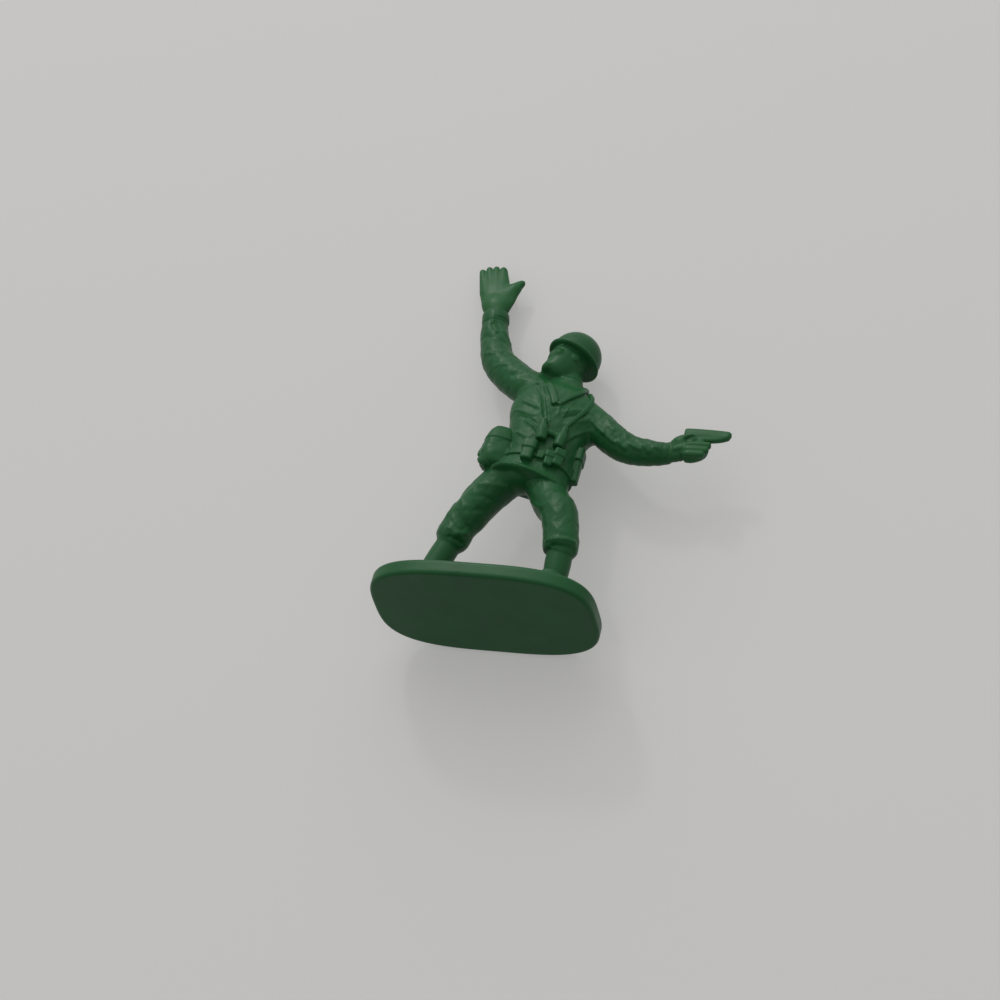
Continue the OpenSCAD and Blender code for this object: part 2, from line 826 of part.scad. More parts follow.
module belt() {
    color(moulded) difference() {
        belt_form();
        jacket_form();
    }
}

// Box with soft edges whose back is sunk into what it sits on; the flap covers its upper part
module soft_box(w, h, t, foot_share = 0.9) {
    limb([
        station([0, t * 0.25, -h * 0.5], w * foot_share * 0.85, t * 1.3),
        station([0, t * 0.25, -h * 0.42], w * foot_share, t * 1.5),
        station([0, t * 0.25, h * 0.4], w, t * 1.5),
        station([0, t * 0.25, h * 0.5], w * 0.86, t * 1.3)
    ], count = 1, power = box_power, facets = 12);
}

module soft_flap(w, h, t, drop_share) {
    limb([
        station([0, t * 0.25, h * (0.5 - drop_share)], w * 0.9 + 2 * flap_t, t * 1.5 + 2 * flap_t),
        station([0, t * 0.25, h * (0.56 - drop_share)], w + 2 * flap_t, t * 1.5 + 2 * flap_t),
        station([0, t * 0.25, h * 0.42], w + 2 * flap_t, t * 1.5 + 2 * flap_t),
        station([0, t * 0.25, h * 0.5 + flap_t], w * 0.8, t * 1.2)
    ], count = 1, power = box_power, facets = 12);
}

// Belt pouch with its flap, hung with its upper part on the belt
module pouch_form(i) {
    k = pouch_shares[i];
    on_jacket(waist, pouch_turns[i]) translate([0, belt_t, -pouch_h * pouch_drop_shares[i]]) {
        soft_box(pouch_w * k, pouch_h * k, pouch_t * k);
        soft_flap(pouch_w * k, pouch_h * k, pouch_t * k, 0.42);
    }
}

module pouch(i) {
    color(moulded) difference() {
        pouch_form(i);
        jacket_form();
        belt_form();
        left_trouser_form();
        right_trouser_form();
        if (i > 1) pouch_form(i - 1);
    }
}

module right_pouch() {
    pouch(0);
}

module left_inner_pouch() {
    pouch(1);
}

module left_outer_pouch() {
    pouch(2);
}

module belt_buckle_form() {
    on_jacket(waist, buckle_turn)
        translate([0, belt_t * 0.5, 0]) soft_box(buckle_w, belt_h, belt_t * 1.4, 1);
}

module belt_buckle() {
    color(moulded) difference() {
        belt_buckle_form();
        belt_form();
        jacket_form();
        pouch_form(0);
        pouch_form(1);
    }
}

// Canteen in its cover, with a flap over its shoulders
module canteen_form() {
    on_jacket(waist, canteen_turn) translate([0, belt_t, canteen_h * 0.24]) limb([
        station([0, canteen_t * 0.3, -canteen_h * 0.5], canteen_w * 0.55, canteen_t * 0.9),
        station([0, canteen_t * 0.3, -canteen_h * 0.42], canteen_w * 0.85, canteen_t * 1.25),
        station([0, canteen_t * 0.3, -canteen_h * 0.22], canteen_w, canteen_t * 1.42),
        station([0, canteen_t * 0.3, canteen_h * 0.12], canteen_w, canteen_t * 1.26),
        station([0, canteen_t * 0.3, canteen_h * 0.36], canteen_w * 0.85, canteen_t * 0.96),
        station([0, canteen_t * 0.3, canteen_h * 0.5], canteen_w * 0.45, canteen_t * 0.6)
    ], count = 2, power = 2.8);
}

module canteen_flap_form() {
    on_jacket(waist, canteen_turn) translate([0, belt_t, canteen_h * 0.24]) limb([
        station([0, canteen_t * 0.3, canteen_h * 0.1], canteen_w * 0.95, canteen_t * 1.28 + flap_t),
        station(
            [0, canteen_t * 0.3, canteen_h * 0.14],
            canteen_w + 2 * flap_t, canteen_t * 1.25 + 2 * flap_t
        ),
        station(
            [0, canteen_t * 0.3, canteen_h * 0.36],
            canteen_w * 0.85 + 2 * flap_t, canteen_t * 0.96 + 2 * flap_t
        ),
        station([0, canteen_t * 0.3, canteen_h * 0.5 + flap_t], canteen_w * 0.4, canteen_t * 0.6)
    ], count = 2, power = 2.8);
}

module canteen() {
    color(moulded) difference() {
        canteen_form();
        jacket_form();
        belt_form();
        right_trouser_form();
    }
}

module canteen_flap() {
    color(moulded) difference() {
        canteen_flap_form();
        canteen_form();
        jacket_form();
        belt_form();
    }
}

// Holster, tapered toward its foot, with a flap
module holster_form() {
    on_jacket(waist, holster_turn) translate([0, belt_t, holster_h * 0.2])
        soft_box(holster_w, holster_h, holster_t, 0.6);
}

module holster_flap_form() {
    on_jacket(waist, holster_turn) translate([0, belt_t, holster_h * 0.2])
        soft_flap(holster_w, holster_h, holster_t, 0.36);
}

module holster() {
    color(moulded) difference() {
        holster_form();
        jacket_form();
        belt_form();
        left_trouser_form();
    }
}

module holster_flap() {
    color(moulded) difference() {
        holster_flap_form();
        holster_form();
        jacket_form();
        belt_form();
    }
}

// Binoculars on the chest, hung from a strap round the neck

// Levels of the middles of the right and the left barrel
barrel_levels = [mix(waist, ribs, 0.82), mix(waist, ribs, 0.7)];

module barrel_form(i) {
    on_jacket(barrel_levels[i], barrel_turns[i])
        translate([0, barrel_d * 0.3, 0]) rotate([0, barrel_leans[i], 0]) limb([
            station([0, 0, -barrel_l * 0.5], barrel_d * 0.92, barrel_d * 0.92),
            station([0, 0, -barrel_l * 0.44], barrel_d, barrel_d),
            station([0, 0, 0], barrel_d, barrel_d),
            station([0, 0, barrel_l * 0.2], barrel_d * 0.72, barrel_d * 0.8),
            station([0, 0, barrel_l * 0.44], barrel_d * 0.68, barrel_d * 0.74),
            station([0, 0, barrel_l * 0.5], barrel_d * 0.45, barrel_d * 0.5)
        ], count = 1, facets = 14);
}

module barrel(i) {
    color(moulded) difference() {
        barrel_form(i);
        jacket_form();
        belt_form();
        for (k = [0 : 2]) pouch_form(k);
    }
}

module binocular_right_barrel() {
    barrel(0);
}

module binocular_left_barrel() {
    barrel(1);
}

// Hinge bridge from barrel to barrel
module binocular_bridge() {
    ends = [for (i = [0 : 1]) on_torso(barrel_levels[i], barrel_turns[i], barrel_d * 0.25)];
    color(moulded) difference() {
        limb([
            station(ends[0], barrel_l * 0.3, barrel_d * 0.6),
            station(mix(ends[0], ends[1], 0.5), barrel_l * 0.24, barrel_d * 0.6),
            station(ends[1], barrel_l * 0.3, barrel_d * 0.6)
        ], count = 2, ref = torso_front, facets = small_around);
        for (i = [0 : 1]) barrel_form(i);
        jacket_form();
    }
}

// Levels and turns of the strap from the right barrel, round the nape, to the left barrel
strap_route = [
    [2.2, -1], [3, -8], [3.8, -21], [4.5, -50], [4.75, -88], [4.8, -130], [4.8, -180],
    [4.8, -230], [4.75, -272], [4.5, -303], [3.8, -314], [3, -323], [2.1, -337]
];

module strap_form() {
    band(strap_route, 2, strap_w, strap_t);
}

module binocular_strap() {
    color(moulded) difference() {
        strap_form();
        jacket_form();
        collar_form();
        for (i = [0 : 1]) barrel_form(i);
    }
}

base();
right_boot();
left_boot();
right_trouser_leg();
left_trouser_leg();
jacket();
collar();
neck();
head();
helmet();
right_sleeve();
right_cuff();
right_hand();
right_thumb();
left_sleeve();
left_cuff();
left_hand();
pistol();
belt();
belt_buckle();
right_pouch();
left_inner_pouch();
left_outer_pouch();
canteen();
canteen_flap();
holster();
holster_flap();
binocular_right_barrel();
binocular_left_barrel();
binocular_bridge();
binocular_strap();
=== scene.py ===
import math
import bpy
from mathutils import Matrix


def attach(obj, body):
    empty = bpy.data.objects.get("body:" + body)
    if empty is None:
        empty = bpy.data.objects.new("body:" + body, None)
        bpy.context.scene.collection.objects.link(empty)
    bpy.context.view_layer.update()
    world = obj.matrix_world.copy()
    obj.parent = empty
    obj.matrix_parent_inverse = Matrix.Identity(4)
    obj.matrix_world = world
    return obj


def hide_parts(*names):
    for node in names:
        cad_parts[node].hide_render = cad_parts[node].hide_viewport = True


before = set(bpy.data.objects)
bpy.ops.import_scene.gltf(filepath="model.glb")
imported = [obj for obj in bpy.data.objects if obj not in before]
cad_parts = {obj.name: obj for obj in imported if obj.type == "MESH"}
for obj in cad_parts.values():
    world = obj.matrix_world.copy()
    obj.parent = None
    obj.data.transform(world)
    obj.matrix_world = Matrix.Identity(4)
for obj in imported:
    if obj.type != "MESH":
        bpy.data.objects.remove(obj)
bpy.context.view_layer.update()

from types import SimpleNamespace

import bpy
import numpy as np
from mathutils import Matrix

bl_info = {
    "name": "Moulded toy soldier",
    "version": (1, 0, 0),
    "blender": (4, 5, 0),
    "location": "View3D > Sidebar > Toy soldier",
    "description": "Builds a small moulded plastic soldier on an oval base, piece by piece",
    "category": "Object",
}

# One millimetre in scene units. All forms below are worked out in millimetres.
MM = 0.001
FRONT, BACK, UP = np.array([[0.0, -1.0, 0.0], [0.0, 1.0, 0.0], [0.0, 0.0, 1.0]])
# Past this distance from its box a form isn't worked out, in millimetres
FAR = 1.2
# Added to lengths and shares that are divided by, so that none is zero
TINY = 1e-6
# Height of the cloth's unevenness, in millimetres
CRUMPLE = 0.05


# Sizes and colours

def length(name, description, millimetres):
    """A size in scene units, given in millimetres."""
    return bpy.props.FloatProperty(
        name=name, description=description, default=millimetres * MM, min=0.0, precision=5, unit="LENGTH"
    )


def angle(name, description, degrees):
    """A turn, given in degrees."""
    return bpy.props.FloatProperty(
        name=name, description=description, default=math.radians(degrees), subtype="ANGLE"
    )


def linear(hex_colour):
    """The linear colour of an sRGB hex value."""
    srgb = np.array([int(hex_colour[i:i + 2], 16) for i in (1, 3, 5)]) / 255
    return tuple(np.where(srgb <= 0.04045, srgb / 12.92, ((srgb + 0.055) / 1.055) ** 2.4))


def colour(name, description, hex_colour):
    """A colour, given as an sRGB hex value."""
    return bpy.props.FloatVectorProperty(
        name=name, description=description, default=linear(hex_colour), size=3, min=0.0, max=1.0,
        subtype="COLOR",
    )


class SoldierSizes(bpy.types.PropertyGroup):
    """Sizes of the figure that a user would change."""

    base_l: length("Base length", "Side to side", 20)
    base_w: length("Base width", "Front to back", 12)
    base_t: length("Base thickness", "Underside to top", 1.5)
    base_edge: length("Base edge", "Rounding of the base's edges", 0.35)
    figure_h: length("Figure height", "Underside of the base to the crown of the helmet", 30)
    chest_turn: angle("Chest turn", "Toward the figure's left", 10)
    head_turn: angle("Head turn", "Toward the figure's right", 55)
    head_lift: angle("Head lift", "Of the face above level", 20)
    thigh_d: length("Thigh", "Thickness of the trousers at the thigh", 3.45)
    knee_d: length("Knee", "Thickness of the trousers at the knee", 3.15)
    blouse_d: length("Blouse", "Thickness of the trouser bottom", 3)
    boot_d: length("Boot shaft", "Thickness of the boot shaft", 2.3)
    foot_l: length("Foot length", "Heel to toe", 4.5)
    foot_w: length("Foot width", "Across the ball", 1.9)
    foot_h: length("Foot height", "At the instep", 1.6)
    sole_t: length("Sole", "Thickness of the sole", 0.35)
    hem_w: length("Hem width", "Jacket at the hem", 7.5)
    hem_d: length("Hem depth", "Jacket at the hem", 4.6)
    waist_w: length("Waist width", "Jacket at the waist", 6.3)
    waist_d: length("Waist depth", "Jacket at the waist", 4.4)
    chest_w: length("Chest width", "Jacket at the chest", 8.2)
    chest_d: length("Chest depth", "Jacket at the chest", 4.8)
    shoulder_w: length("Shoulder width", "Jacket at the shoulders", 7.2)
    shoulder_d: length("Shoulder depth", "Jacket at the shoulders", 4.2)
    collar_w: length("Collar width", "Across the turned-down collar", 0.85)
    collar_t: length("Collar relief", "Height of the collar over the jacket", 0.24)
    upper_sleeve_d: length("Upper sleeve", "Thickness at the upper arm", 3.35)
    elbow_d: length("Elbow", "Thickness at the elbow", 3.05)
    sleeve_end_d: length("Sleeve end", "Thickness at the right wrist", 2.2)
    left_sleeve_end_d: length("Left sleeve end", "Thickness at the left wrist", 1.6)
    cuff_l: length("Cuff length", "Of the turned-back cuff", 1)
    cuff_t: length("Cuff relief", "Height of the cuff over the sleeve", 0.1)
    palm_w: length("Palm width", "Across the open hand", 2.65)
    palm_t: length("Palm thickness", "Of the open hand", 1.25)
    finger_l: length("Finger length", "Of the longest finger", 2.45)
    finger_d: length("Finger thickness", "Of one finger", 0.7)
    thumb_l: length("Thumb length", "Of the open hand's thumb", 2.5)
    thumb_d: length("Thumb thickness", "At its root", 1.45)
    fist_w: length("Fist width", "Along the pistol", 3.2)
    fist_h: length("Fist height", "Of the closed hand", 2.6)
    fist_t: length("Fist thickness", "Of the closed hand", 1.8)
    head_h: length("Head height", "Chin to crown", 4)
    head_w: length("Head width", "Ear to ear", 2.95)
    head_d: length("Head depth", "Face to nape", 3.5)
    neck_d: length("Neck", "Thickness of the neck", 2.3)
    helmet_w: length("Helmet width", "Of the bowl", 4.15)
    helmet_d: length("Helmet depth", "Of the bowl", 4.65)
    helmet_h: length("Helmet height", "Rim to crown", 2.85)
    brim_out: length("Brim reach", "Past the bowl", 0.18)
    brim_t: length("Brim thickness", "Of the lip", 0.3)
    belt_h: length("Belt height", "Of the web belt", 0.85)
    belt_t: length("Belt relief", "Height of the belt over the jacket", 0.22)
    buckle_w: length("Buckle width", "On the belt", 0.65)
    pouch_w: length("Pouch width", "Of the right belt pouch", 1.15)
    pouch_h: length("Pouch height", "Of the right belt pouch", 1.9)
    pouch_t: length("Pouch depth", "Of the right belt pouch", 0.6)
    flap_t: length("Flap thickness", "Of the flaps", 0.1)
    canteen_w: length("Canteen width", "On the right hip", 2.6)
    canteen_h: length("Canteen height", "On the right hip", 4.2)
    canteen_t: length("Canteen depth", "Height over the jacket", 2.1)
    holster_w: length("Holster width", "On the left hip", 1.5)
    holster_h: length("Holster height", "On the left hip", 3.4)
    holster_t: length("Holster depth", "Height over the jacket", 0.5)
    barrel_l: length("Barrel length", "Of the binoculars", 2.3)
    barrel_d: length("Barrel thickness", "Of the binoculars", 1.05)
    strap_w: length("Strap width", "Of the binoculars' strap", 0.7)
    strap_t: length("Strap relief", "Height of the strap over the jacket", 0.17)
    slide_l: length("Slide length", "Of the pistol", 4.1)
    slide_h: length("Slide height", "Of the pistol", 0.84)
    slide_w: length("Slide width", "Of the pistol", 0.62)
    grip_l: length("Grip length", "Of the pistol", 1.9)
    grip_d: length("Grip depth", "Of the pistol", 0.95)
    muzzle_d: length("Muzzle", "Diameter of the muzzle", 0.42)


class SoldierColours(bpy.types.PropertyGroup):
    """Colours of the plastic and of the floor."""

    plastic: colour("Plastic", "Green of the thick pieces", "#1B4D29")
    plastic_thin: colour("Thin plastic", "Green where the plastic is thin and light comes through", "#22542D")
    floor: colour("Floor", "Pale floor", "#BEBDBB")


def in_millimetres(sizes):
    """The sizes as plain numbers: lengths in millimetres, turns in radians."""
    values = {}
    for name, prop in sizes.bl_rna.properties.items():
        if prop.type == "FLOAT":
            values[name] = getattr(sizes, name) / (MM if prop.unit == "LENGTH" else 1)
    return SimpleNamespace(**values)


# Forms: closed shapes given as fields, less than zero inside, in millimetres from the surface

def unit(v):
    """Vectors over their length."""
    return v / np.linalg.norm(v, axis=-1, keepdims=True)


def between(a, b, share):
    """The value a share of the way from a to b."""
    return a + (b - a) * share


def fuse(a, b, blend):
    """The lower of two fields, with a round fillet where they come within blend of each other."""
    near = np.maximum(blend - np.abs(a - b), 0) / blend
    return np.minimum(a, b) - near * near * blend / 4


def trim(a, b, blend):
    """The higher of two fields, with a round edge where they come within blend of each other."""
    return -fuse(-a, -b, blend)


class Form:
    """A field and the box that holds its shape."""

    def __init__(self, field, low, high):
        self.field = field
        self.low = np.asarray(low, float)
        self.high = np.asarray(high, float)

    def __call__(self, points):
        """The field at points near the box, and FAR at all others."""
        near = np.all((points > self.low - FAR) & (points < self.high + FAR), axis=1)
        out = np.full(len(points), FAR)
        if near.any():
            out[near] = self.field(points[near])
        return out


def joined(blend, *forms):
    """Several forms as one, with fillets of size blend between them."""
    def field(points):
        value = forms[0](points)
        for form in forms[1:]:
            value = fuse(value, form(points), blend)
        return value
    return Form(field, np.min([f.low for f in forms], 0), np.max([f.high for f in forms], 0))


def cut(form, cutter, blend):
    """A form less a cutter, with its new edges rounded by blend."""
    return Form(lambda points: trim(form(points), -cutter(points), blend), form.low, form.high)


def placed(form, origin, axes=np.eye(3)):
    """A form moved so that its own x, y and z lie along the rows of axes, from origin."""
    corners = np.array(np.meshgrid(*zip(form.low, form.high))).reshape(3, -1).T @ axes + origin
    return Form(lambda points: form((points - origin) @ axes.T), corners.min(0), corners.max(0))


def turning(turn, axis):
    """Axes, as rows, turned about x, y or z."""
    return np.array(Matrix.Rotation(turn, 3, axis)).T


def spline(rows, samples):
    """Curve through rows with samples steps in each span: the cubic whose slope at a row is half the way
    from the row before it to the row after it."""
    rows = np.asarray(rows, float)
    p = np.vstack([rows[:1], rows, rows[-1:]])
    a, b, c, d = (p[i:len(p) - 3 + i, None] for i in range(4))
    t = np.linspace(0, 1, samples, endpoint=False)[None, :, None]
    steps = (2 * b + (c - a) * t + (2 * a - 5 * b + 4 * c - d) * t**2 + (3 * b - a - 3 * c + d) * t**3) / 2
    return np.vstack([steps.reshape(-1, rows.shape[1]), rows[-1:]])


def crumple(points):
    """Uneven sculpting of the cloth: the mean of seven waves 0.7 to 1.9 mm long in turned directions, each
    bent by the one before it."""
    total, bend = 0, 0
    for k in range(7):
        turn, long = 2.4 * k + 0.7, 1.9 - 0.2 * k
        way = np.array([math.cos(turn), 0.5 * math.sin(2 * turn), math.sin(turn)]) * 2 * math.pi / long
        bend = np.sin(points @ way + 1.7 * k + bend)
        total = total + bend
    return total / 7


def tube(stations, facing=FRONT, power=2.0, folds=(), end=0.2, samples=6):
    """Oval profile carried along a path. Each station is a place, a width and, where it isn't the same, a
    depth, and facing is the way that the depth points. A point's field is its distance from the nearest place
    on the path, less the radius of the oval in that direction; the oval is |a|^power + |b|^power = 1 in half
    widths. The two ends are flat, with edges rounded by end. Each fold is a soft ridge on the surface, from
    one station and angle to another, with a width and a height: height times exp(-(distance / width)^2)."""
    rows = spline([[*p, w, *(d or [w])] for p, w, *d in stations], samples)
    facing = np.broadcast_to(np.asarray(facing, float), (len(stations), 3))
    centre, half = rows[:, :3], rows[:, 3:] / 2
    ahead = unit(np.gradient(centre, axis=0))
    across = unit(np.cross(spline(facing, samples), ahead))
    out = np.cross(ahead, across)
    step = np.diff(centre, axis=0)
    step_2 = (step**2).sum(1)
    arc = np.concatenate([[0], np.cumsum(np.sqrt(step_2))])
    last = len(step) - 1

    def field(points):
        nearest = np.full(len(points), np.inf)
        spot = np.zeros(len(points))
        for i in range(len(step)):
            off = points - centre[i]
            t = np.clip(off @ step[i] / step_2[i], 0, 1)
            gap = ((off - t[:, None] * step[i])**2).sum(1)
            closer = gap < nearest
            nearest[closer] = gap[closer]
            spot[closer] = i + t[closer]
        i = np.minimum(spot.astype(int), last)
        t = (spot - i)[:, None]

        def at_spot(values):
            return values[i] + (values[i + 1] - values[i]) * t

        off = points - at_spot(centre)
        a = (off * at_spot(across)).sum(1)
        b = (off * at_spot(out)).sum(1)
        along = at_spot(arc[:, None])[:, 0] + (off * at_spot(ahead)).sum(1)
        h = at_spot(half)
        reach = np.hypot(a, b) + TINY
        share = (np.abs(a / h[:, 0])**power + np.abs(b / h[:, 1])**power)**(1 / power) + TINY
        radius = reach / share
        side = reach - radius
        if len(folds):
            turn = np.arctan2(b, a)
            side = side - CRUMPLE * crumple(points)
        for t0, a0, t1, a1, width, height in folds:
            s0, s1 = np.interp([t0 * samples, t1 * samples], np.arange(len(arc)), arc)
            a0, a1 = math.radians(a0), math.radians(a1)
            x = along - s0
            y = radius * ((turn - (a0 + a1) / 2 + math.pi) % (2 * math.pi) - math.pi + (a1 - a0) / 2)
            dx, dy = s1 - s0, radius * (a1 - a0)
            k = np.clip((x * dx + y * dy) / (dx**2 + dy**2), 0, 1)
            side = side - height * np.exp(-((x - k * dx)**2 + (y - k * dy)**2) / width**2)
        return trim(side, np.maximum(-along, along - arc[-1]), end)

    big = rows[:, 3:].max(1, keepdims=True) / 2
    return Form(field, (centre - big).min(0), (centre + big).max(0))


def block(size, edge):
    """Box with rounded edges: the length of what reaches past the inner box, less the rounding."""
    half = np.asarray(size, float) / 2

    def field(points):
        q = np.abs(points) - half + edge
        return np.linalg.norm(np.maximum(q, 0), axis=1) + np.minimum(q.max(1), 0) - edge
    return Form(field, -half, half)


def ball(size):
    """Ellipsoid: with k the length of the point in half sizes, k (k - 1) over the length of its slope."""
    half = np.asarray(size, float) / 2

    def field(points):
        k = np.linalg.norm(points / half, axis=1) + TINY
        return k * (k - 1) / (np.linalg.norm(points / half**2, axis=1) + TINY)
    return Form(field, -half, half)


# The figure's forms

class Soldier:
    """All forms of the figure, in millimetres. Places are shares of the figure's height."""

    right_leg = [[-0.016, -0.027, 0.483], [-0.086, -0.017, 0.391], [-0.116, -0.01, 0.339],
                 [-0.143, -0.003, 0.296], [-0.156, 0, 0.248]]
    left_leg = [[0.087, -0.024, 0.452], [0.128, -0.039, 0.376], [0.165, -0.06, 0.327],
                [0.186, -0.065, 0.255], [0.196, -0.06, 0.2]]
    right_seat, left_seat = [0.015, -0.044, 0.452], [0.084, -0.03, 0.446]
    right_arm = [[0.03, -0.02, 0.755], [-0.026, -0.02, 0.791], [-0.104, -0.013, 0.847],
                 [-0.162, -0.007, 0.906], [-0.189, -0.003, 0.973], [-0.205, 0, 1.03], [-0.214, 0, 1.084]]
    left_arm = [[0.11, -0.02, 0.725], [0.185, -0.02, 0.69], [0.252, -0.017, 0.636], [0.312, -0.013, 0.605],
                [0.374, -0.013, 0.598], [0.415, -0.013, 0.598], [0.428, -0.015, 0.599]]
    right_palm = [[-0.217, 0, 1.1], [-0.23, 0, 1.152], [-0.243, 0, 1.2]]
    thumb_root = [-0.212, -0.003, 1.154]
    fist = [0.4917, -0.02, 0.6183]
    torso = [[0.045, -0.048, 0.423], [0.057, -0.036, 0.495], [0.062, -0.033, 0.6], [0.068, -0.03, 0.68],
             [0.075, -0.027, 0.743], [0.08, -0.023, 0.787], [0.083, -0.02, 0.82]]
    head = [0.065, -0.03, 0.9]
    # Ankles as shares of the base's half length and half width, and the turn of the toes in degrees
    right_ankle, right_toe = [-0.63, 0.08], -30
    left_ankle, left_toe = [0.585, -0.22], 8
    # Levels of the jacket, counted up from the hem
    waist, shoulder = 1, 4
    # Powers of the ovals, where 2 is an ellipse, and steps of the jacket's curve from level to level
    torso_power, base_power, bowl_power = 2.3, 3.2, 2.2
    torso_steps = 24
    # A band is brought forward over a form up to this turn, in this many steps
    last_turn, forward_steps = -75, 8
    # Level and turn of the middle of each barrel, and the lean of its top toward the figure's left in degrees
    barrels = ((1.82, -2, 8), (1.7, 24, -3))

    def __init__(self, s):
        self.s = s
        c, n = math.cos(s.chest_turn), math.sin(s.chest_turn)
        self.torso_left, self.torso_front = np.array([c, n, 0]), np.array([n, -c, 0])
        hem, waist, chest, shoulder = np.array([
            [s.hem_w * 0.97, s.hem_d * 0.95], [s.waist_w, s.waist_d], [s.chest_w, s.chest_d],
            [s.shoulder_w, s.shoulder_d],
        ])
        ovals = [hem, waist, between(waist, chest, 0.35), chest, shoulder, between(shoulder, s.neck_d, 0.66),
                 [s.neck_d * 1.15] * 2]
        self.torso_rows = np.hstack([self.at(self.torso), ovals])
        self.torso_up = unit(self.torso_rows[self.shoulder, :3] - self.torso_rows[self.waist, :3])
        self.head_axes = turning(-s.head_lift, "X") @ turning(-s.head_turn, "Z")
        palm = self.at(self.right_palm)
        self.palm_up = unit(palm[-1] - palm[0])
        self.palm_side = unit(np.cross([0, 1, 0], self.palm_up))

    def at(self, shares):
        """Places from their shares of the figure's height."""
        return self.s.figure_h * np.asarray(shares, float)

    # Places on the jacket, by level and by turn from its front toward the figure's left

    def torso_at(self, level):
        """Middle, width and depth of the jacket at a level."""
        fine = spline(self.torso_rows, self.torso_steps)
        spot = level * self.torso_steps
        return np.array([np.interp(spot, np.arange(len(fine)), column) for column in fine.T])

    def on_torso(self, level, turn, out=0.0):
        """Place on the jacket's oval: half its width times sin^(2/power) to the left and half its depth times
        cos^(2/power) to the front, both halves grown by out."""
        row = self.torso_at(level)
        sine, cosine = math.sin(math.radians(turn)), math.cos(math.radians(turn))
        side = math.copysign(abs(sine)**(2 / self.torso_power), sine)
        fore = math.copysign(abs(cosine)**(2 / self.torso_power), cosine)
        half_w, half_d = row[3] / 2 + out, row[4] / 2 + out
        return row[:3] + self.torso_left * half_w * side + self.torso_front * half_d * fore

    def torso_normal(self, level, turn):
        """Way out of the jacket: sin(turn) over its width to the left, cos(turn) over its depth forward."""
        row = self.torso_at(level)
        a = math.radians(turn)
        return unit(self.torso_left * math.sin(a) / row[3] + self.torso_front * math.cos(a) / row[4])

    def on_jacket(self, form, level, turn, shift=(0, 0, 0)):
        """A form on the jacket, with its x to the figure's left, y outward and z up."""
        y = self.torso_normal(level, turn)
        z = unit(self.torso_up - y * (self.torso_up @ y))
        axes = np.array([np.cross(y, z), y, z])
        return placed(form, self.on_torso(level, turn) + np.asarray(shift, float) @ axes, axes)

    def band(self, route, width, relief, last_width, last_relief, over=None):
        """Flat band laid on the jacket along a route of levels and turns. It narrows and thins to shares at
        its last end. Where the form over covers the route in front, the band comes forward by the depth to
        which it is sunk, step by step, until it lies on that form."""
        steps = spline(route, 2)
        widths = width * np.linspace(1, last_width, len(steps))
        reliefs = relief * np.linspace(1, last_relief, len(steps))
        places = np.array([self.on_torso(*q) for q in steps])
        if over:
            in_front = steps[:, 1] > self.last_turn
            for _ in range(self.forward_steps):
                places += FRONT * (np.maximum(-over(places), 0) * in_front)[:, None]
        stations = list(zip(places, widths, 2 * reliefs))
        return tube(stations, [self.torso_normal(*q) for q in steps], power=4, end=0.1, samples=2)

    # Base and legs

    def base(self):
        """Plate with the outline |x|^power + |y|^power = 1 in half sizes: the distances past the outline,
        toward the middle, and past the flat faces, rounded by the edge."""
        s = self.s
        half, edge = np.array([s.base_l, s.base_w]) / 2, s.base_edge

        def field(points):
            flat = points[:, :2]
            share = (np.abs(flat / half)**self.base_power).sum(1)**(1 / self.base_power) + TINY
            reach = np.linalg.norm(flat, axis=1) + TINY
            rise = np.abs(points[:, 2] - s.base_t / 2) - s.base_t / 2
            q = np.stack([reach - reach / share, rise], 1) + edge
            return np.linalg.norm(np.maximum(q, 0), axis=1) + np.minimum(q.max(1), 0) - edge
        return Form(field, [*-half, 0], [*half, s.base_t])

    def ankle(self, share):
        """Place of an ankle over the base, at the height of the foot."""
        s = self.s
        return np.array([s.base_l / 2 * share[0], s.base_w / 2 * share[1], s.base_t + s.foot_h])

    def boot(self, ankle, leg, toe):
        """Shaft as a tube up into the trousers, foot as a tube from heel to toe, and a block for the sole."""
        s = self.s
        low, top = self.ankle(ankle), self.at(leg[-1])
        d = s.boot_d
        shaft = tube([
            (low - UP * s.foot_h * 0.5, d * 0.82, d * 0.92), (low, d * 0.86, d * 0.96),
            (between(low, top, 0.3), d * 0.96, d), (between(low, top, 0.7), d),
            (between(low, top, 1.2), d * 0.9, d * 0.96),
        ])
        heel = s.foot_l * 0.24
        foot = tube([
            ((0, y, s.foot_h * z), s.foot_w * w, s.foot_h * h) for y, z, w, h in (
                (heel, 0.5, 0.5, 0.7), (heel * 0.8, 0.52, 0.8, 1.04), (0, 0.56, 0.88, 1.12),
                (heel - s.foot_l * 0.5, 0.36, 0.92, 0.72), (heel - s.foot_l * 0.75, 0.29, 1, 0.58),
                (heel - s.foot_l * 0.93, 0.26, 0.8, 0.5), (heel - s.foot_l, 0.24, 0.4, 0.34),
            )
        ], UP, power=2.4)
        sole = block([s.foot_w * 1.1, s.foot_l * 1.02, s.sole_t * 2], s.sole_t * 0.4)
        shoe = joined(0.1, foot, placed(sole, [0, heel - s.foot_l / 2, 0]))
        ground = low * [1, 1, 0] + UP * s.base_t
        return joined(0.5, shaft, placed(shoe, ground, turning(math.radians(toe), "Z")))

